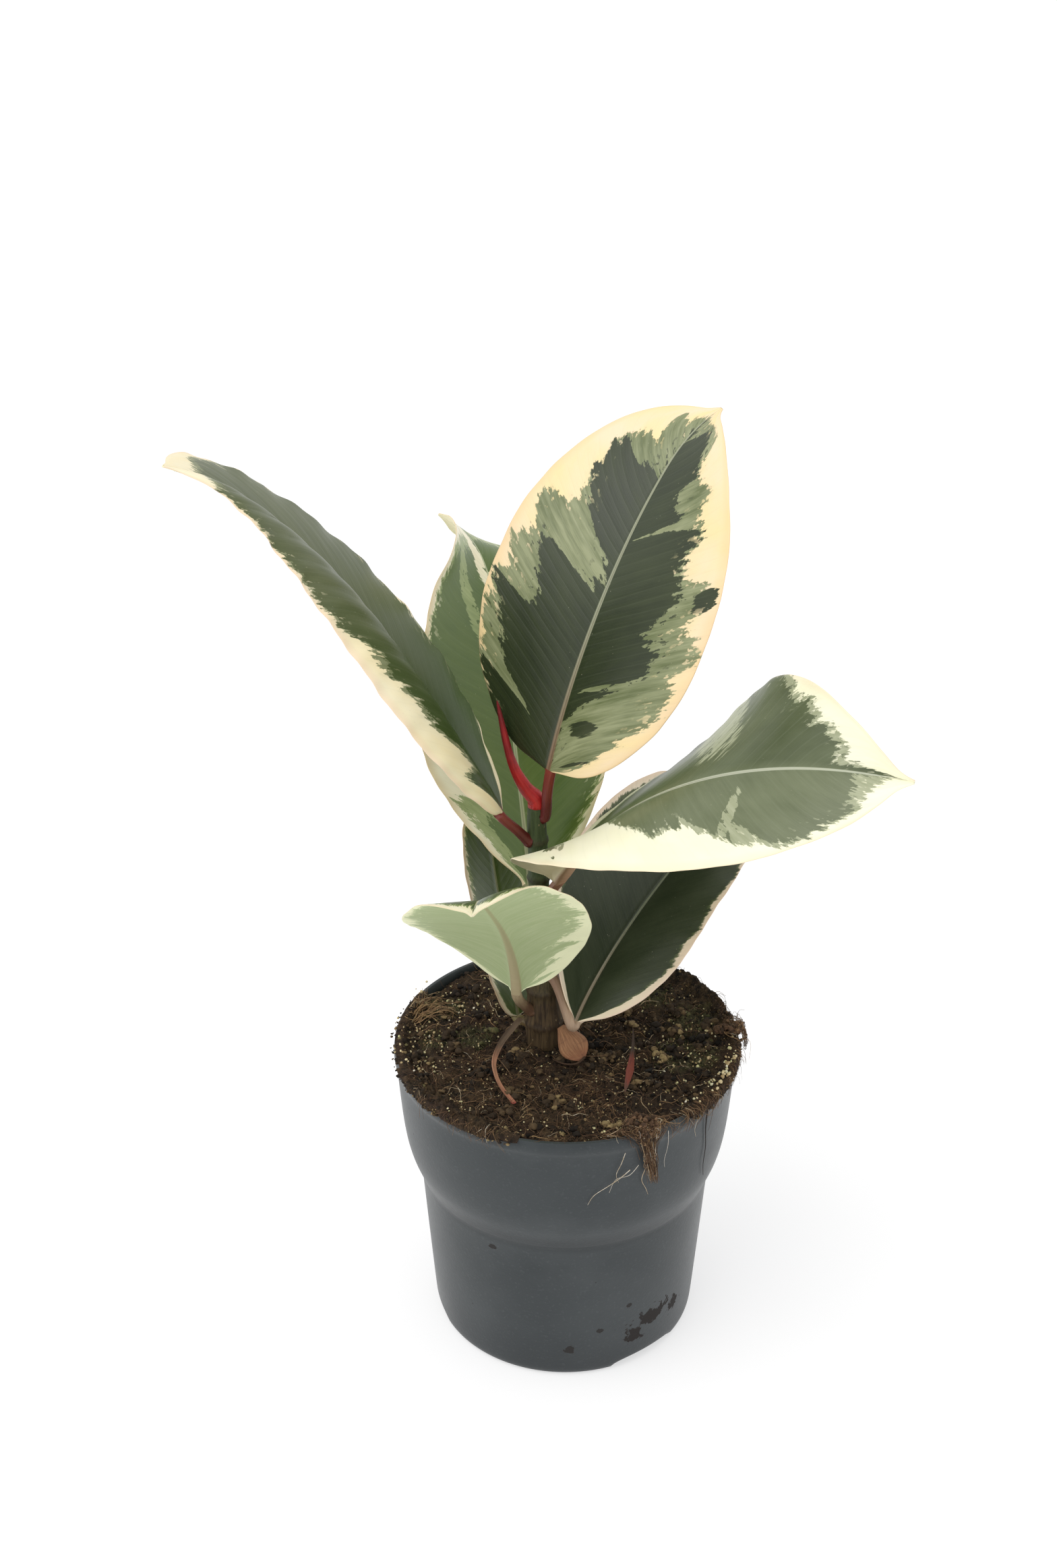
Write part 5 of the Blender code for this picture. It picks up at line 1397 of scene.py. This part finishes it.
def dry_skin(name, a, b, tip, seed, gloss=.7, stages=None):
    g = Graph(name)
    u, t, w = g.sep(g.attr("along"))
    lines = g.noise(g.vec(g.mul(u, 9.0), g.mul(t, 2.2), g.add(g.mul(w, 2.0), seed)), 1.0, 4.0, .65)
    blot = g.noise(g.vec(g.mul(u, 1.4), g.mul(t, 7.0), seed + 3), 1.0, 3.0, .6)
    col = g.mix(g.rng(lines, .34, .66), srgb(*a), srgb(*b))
    col = g.mix(g.rng(g.add(t, g.mul(g.sub(blot, .5), .8)), .62, 1.0), col, srgb(*tip))
    for start, end, shade in stages or ():
        col = g.mix(g.mul(g.rng(g.add(t, g.mul(g.sub(blot, .5), .2)), start, end), g.rng(lines, .2, .8, 1.0, .75)), col, srgb(*shade))
    col = g.mix(g.rng(blot, .55, .75, 0, .5), col, srgb(*[k * .62 for k in a]))
    g.bump(g.add(lines, g.mul(blot, .4)), .6, .0005)
    return g.set(Base_Color=col, Roughness=g.rng(lines, .3, .7, gloss - .08, gloss + .1), Specular_IOR_Level=.4)


ribbon("bud_sheath", "red_bud_sheath",
       [(-10.6, 2.0, 205.4), (-10.7, 2.0, 208.2), (-14.6, 2.3, 213.0), (-19.1, 3.6, 223.0), (-23.4, 8.0, 241.5)],
       [(0, 2.8), (0.12, 3.15), (0.3, 2.95), (0.55, 2.35), (0.85, 1.35), (0.97, .6), (1, 0.15)],
       dry_skin("sheath_red_skin", (150, 22, 24), (186, 38, 38), (112, 24, 28), 2.0, .34), up=(1, .2, 0), ridges=.02,
       flat=lambda t: 1 - .15 * t)
ribbon("dried_stipule_curly", "dry_sheath_curly",
       [(-15.4, -6.0, 125.8), (-17.6, -8.6, 125.0), (-22.4, -13.0, 121.0), (-25.0, -17.2, 116.4), (-24.4, -22.6, 114.0), (-22.0, -30.0, 113.4),
        (-18.6, -36.2, 113.0), (-18.2, -38.0, 113.4)],
       [(0, 0.9), (0.12, 1.0), (0.30, 1.25), (0.5, 1.35), (0.7, 1.1), (0.86, .8), (0.94, .95), (1, 0.30)],
       dry_skin("dry_curly_skin", (84, 68, 54), (118, 98, 78), (120, 60, 48), 5.0,
                stages=[(.30, .42, (196, 142, 112)), (.62, .74, (168, 112, 88)), (.84, .92, (158, 74, 64))]), n=28,
       flat=lambda t: .16, up=(0, -.6, .8), cup=.55, twist=lambda t: 1.5 * math.sin(3.0 * t) - .4)
ribbon("dried_stipule_red", "dry_sheath_red",
       [(23.2, -4.5, 120.6), (23.0, -10.5, 117.2), (21.6, -21.0, 114.3), (19.6, -31.5, 113.3)],
       [(0, 0.25), (0.2, 0.45), (0.42, .7), (0.66, 1.35), (0.86, .8), (1, 0.2)],
       dry_skin("dry_red_skin", (58, 46, 38), (84, 66, 54), (96, 68, 56), 8.0, stages=[(.40, .52, (132, 64, 52)), (.80, .90, (92, 70, 58))]), n=28,
       flat=lambda t: .18, up=(0, -.6, .8), cup=.6, twist=lambda t: .8 - 1.2 * t)


def make_papery():
    top, tip = np.array((-2.0, -5.6, 122.0)), np.array((5.6, -13.4, 113.3))
    axis = unit(tip - top)
    side = np.array((0.75, 0.45, 0.3))
    side = unit(side - axis * side.dot(axis))
    out = np.cross(side, axis)
    if out[1] > 0:
        out = -out
    length = np.linalg.norm(tip - top)
    rows, attr = [], []
    K, J = 40, 25
    for i in range(K):
        t = i / (K - 1)
        w = 5.2 * math.sin(math.pi * (0.05 + 0.93 * t ** 1.3)) ** 0.75
        c = top + axis * (length * t) + out * .6 * math.sin(2.2 * t)
        lp, la = [], []
        for sgn in (1, -1):
            for j in range(J):
                s = (-1 + 2 * j / (J - 1)) * sgn
                curl = 1.9 * (1 - s * s) * math.sin(math.pi * min(1, t + 0.1)) + .5 * abs(s) ** 6 * math.sin(9 * t + s)
                lp.append(c + side * (w * s) + out * (curl + (.18 if sgn > 0 else -.18) * (1 if abs(s) < .98 else .2)))
                la.append((s, t, sgn))
        rows += lp
        attr += la
    n = 2 * J
    faces = grid_faces(K, n)
    faces.append(tuple(reversed(range(n))))
    last = (K - 1) * n
    faces.append(tuple(last + j for j in range(n)))
    ob = new_object("dry_sheath_papery", rows, faces,
                    [dry_skin("dry_papery_skin", (122, 84, 58), (172, 126, 90), (150, 98, 70), 11.0, stages=[(.86, .97, (104, 68, 50))])], {"along": np.array(attr)})
    bm = bmesh.new()
    bm.from_mesh(ob.data)
    if bm.calc_volume(signed=True) < 0:
        bmesh.ops.reverse_faces(bm, faces=bm.faces)
    bm.to_mesh(ob.data)
    bm.free()
    ob.data.shade_smooth()
    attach(ob, "root")
    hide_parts("dried_stipule_papery")


make_papery()

# ------------------------------------------------------------------ floor, light, camera
fl = bpy.data.meshes.new("studio_floor")
fl.from_pydata([(-8, -6, 0), (8, -6, 0), (8, 10, 0), (-8, 10, 0)], [], [(0, 1, 2, 3)])
floor = bpy.data.objects.new("studio_floor", fl)
bpy.context.scene.collection.objects.link(floor)
g = Graph("studio_floor_paint")
g.set(Base_Color=g.mix(g.rng(g.noise(g.place(), 3.0, 2.0), .3, .7), (.50, .50, .505, 1), (.51, .51, .515, 1)), Roughness=.95, Specular_IOR_Level=.0,
      Emission_Color=(1.0, 1.0, 1.0, 1), Emission_Strength=.56)
fl.materials.append(g.m)

scene = bpy.context.scene
world = bpy.data.worlds.new("studio")
scene.world = world
world.use_nodes = True
wt = world.node_tree
bg = wt.nodes["Background"]
bg.inputs[0].default_value = (.995, .998, 1.0, 1)
bg.inputs[1].default_value = .88


def sun(name, energy, angle, direction, color):
    data = bpy.data.lights.new(name, "SUN")
    data.energy, data.angle, data.color = energy, math.radians(angle), color
    ob = bpy.data.objects.new(name, data)
    ob.rotation_euler = (-Vector(direction)).to_track_quat("-Z", "Y").to_euler()
    scene.collection.objects.link(ob)


sun("soft_key", .95, 50, (-.55, -.35, 1.0), (1.0, .985, .96))

cam_data = bpy.data.cameras.new("camera")
cam_data.lens, cam_data.sensor_width = 51.1, 36.0
cam = bpy.data.objects.new("camera", cam_data)
cam.location = (-.0131, -.6424, .5661)
cam.rotation_euler = (math.radians(61.33), 0, 0)
scene.collection.objects.link(cam)
scene.camera = cam
scene.view_settings.view_transform = "Standard"
scene.view_settings.look = "None"
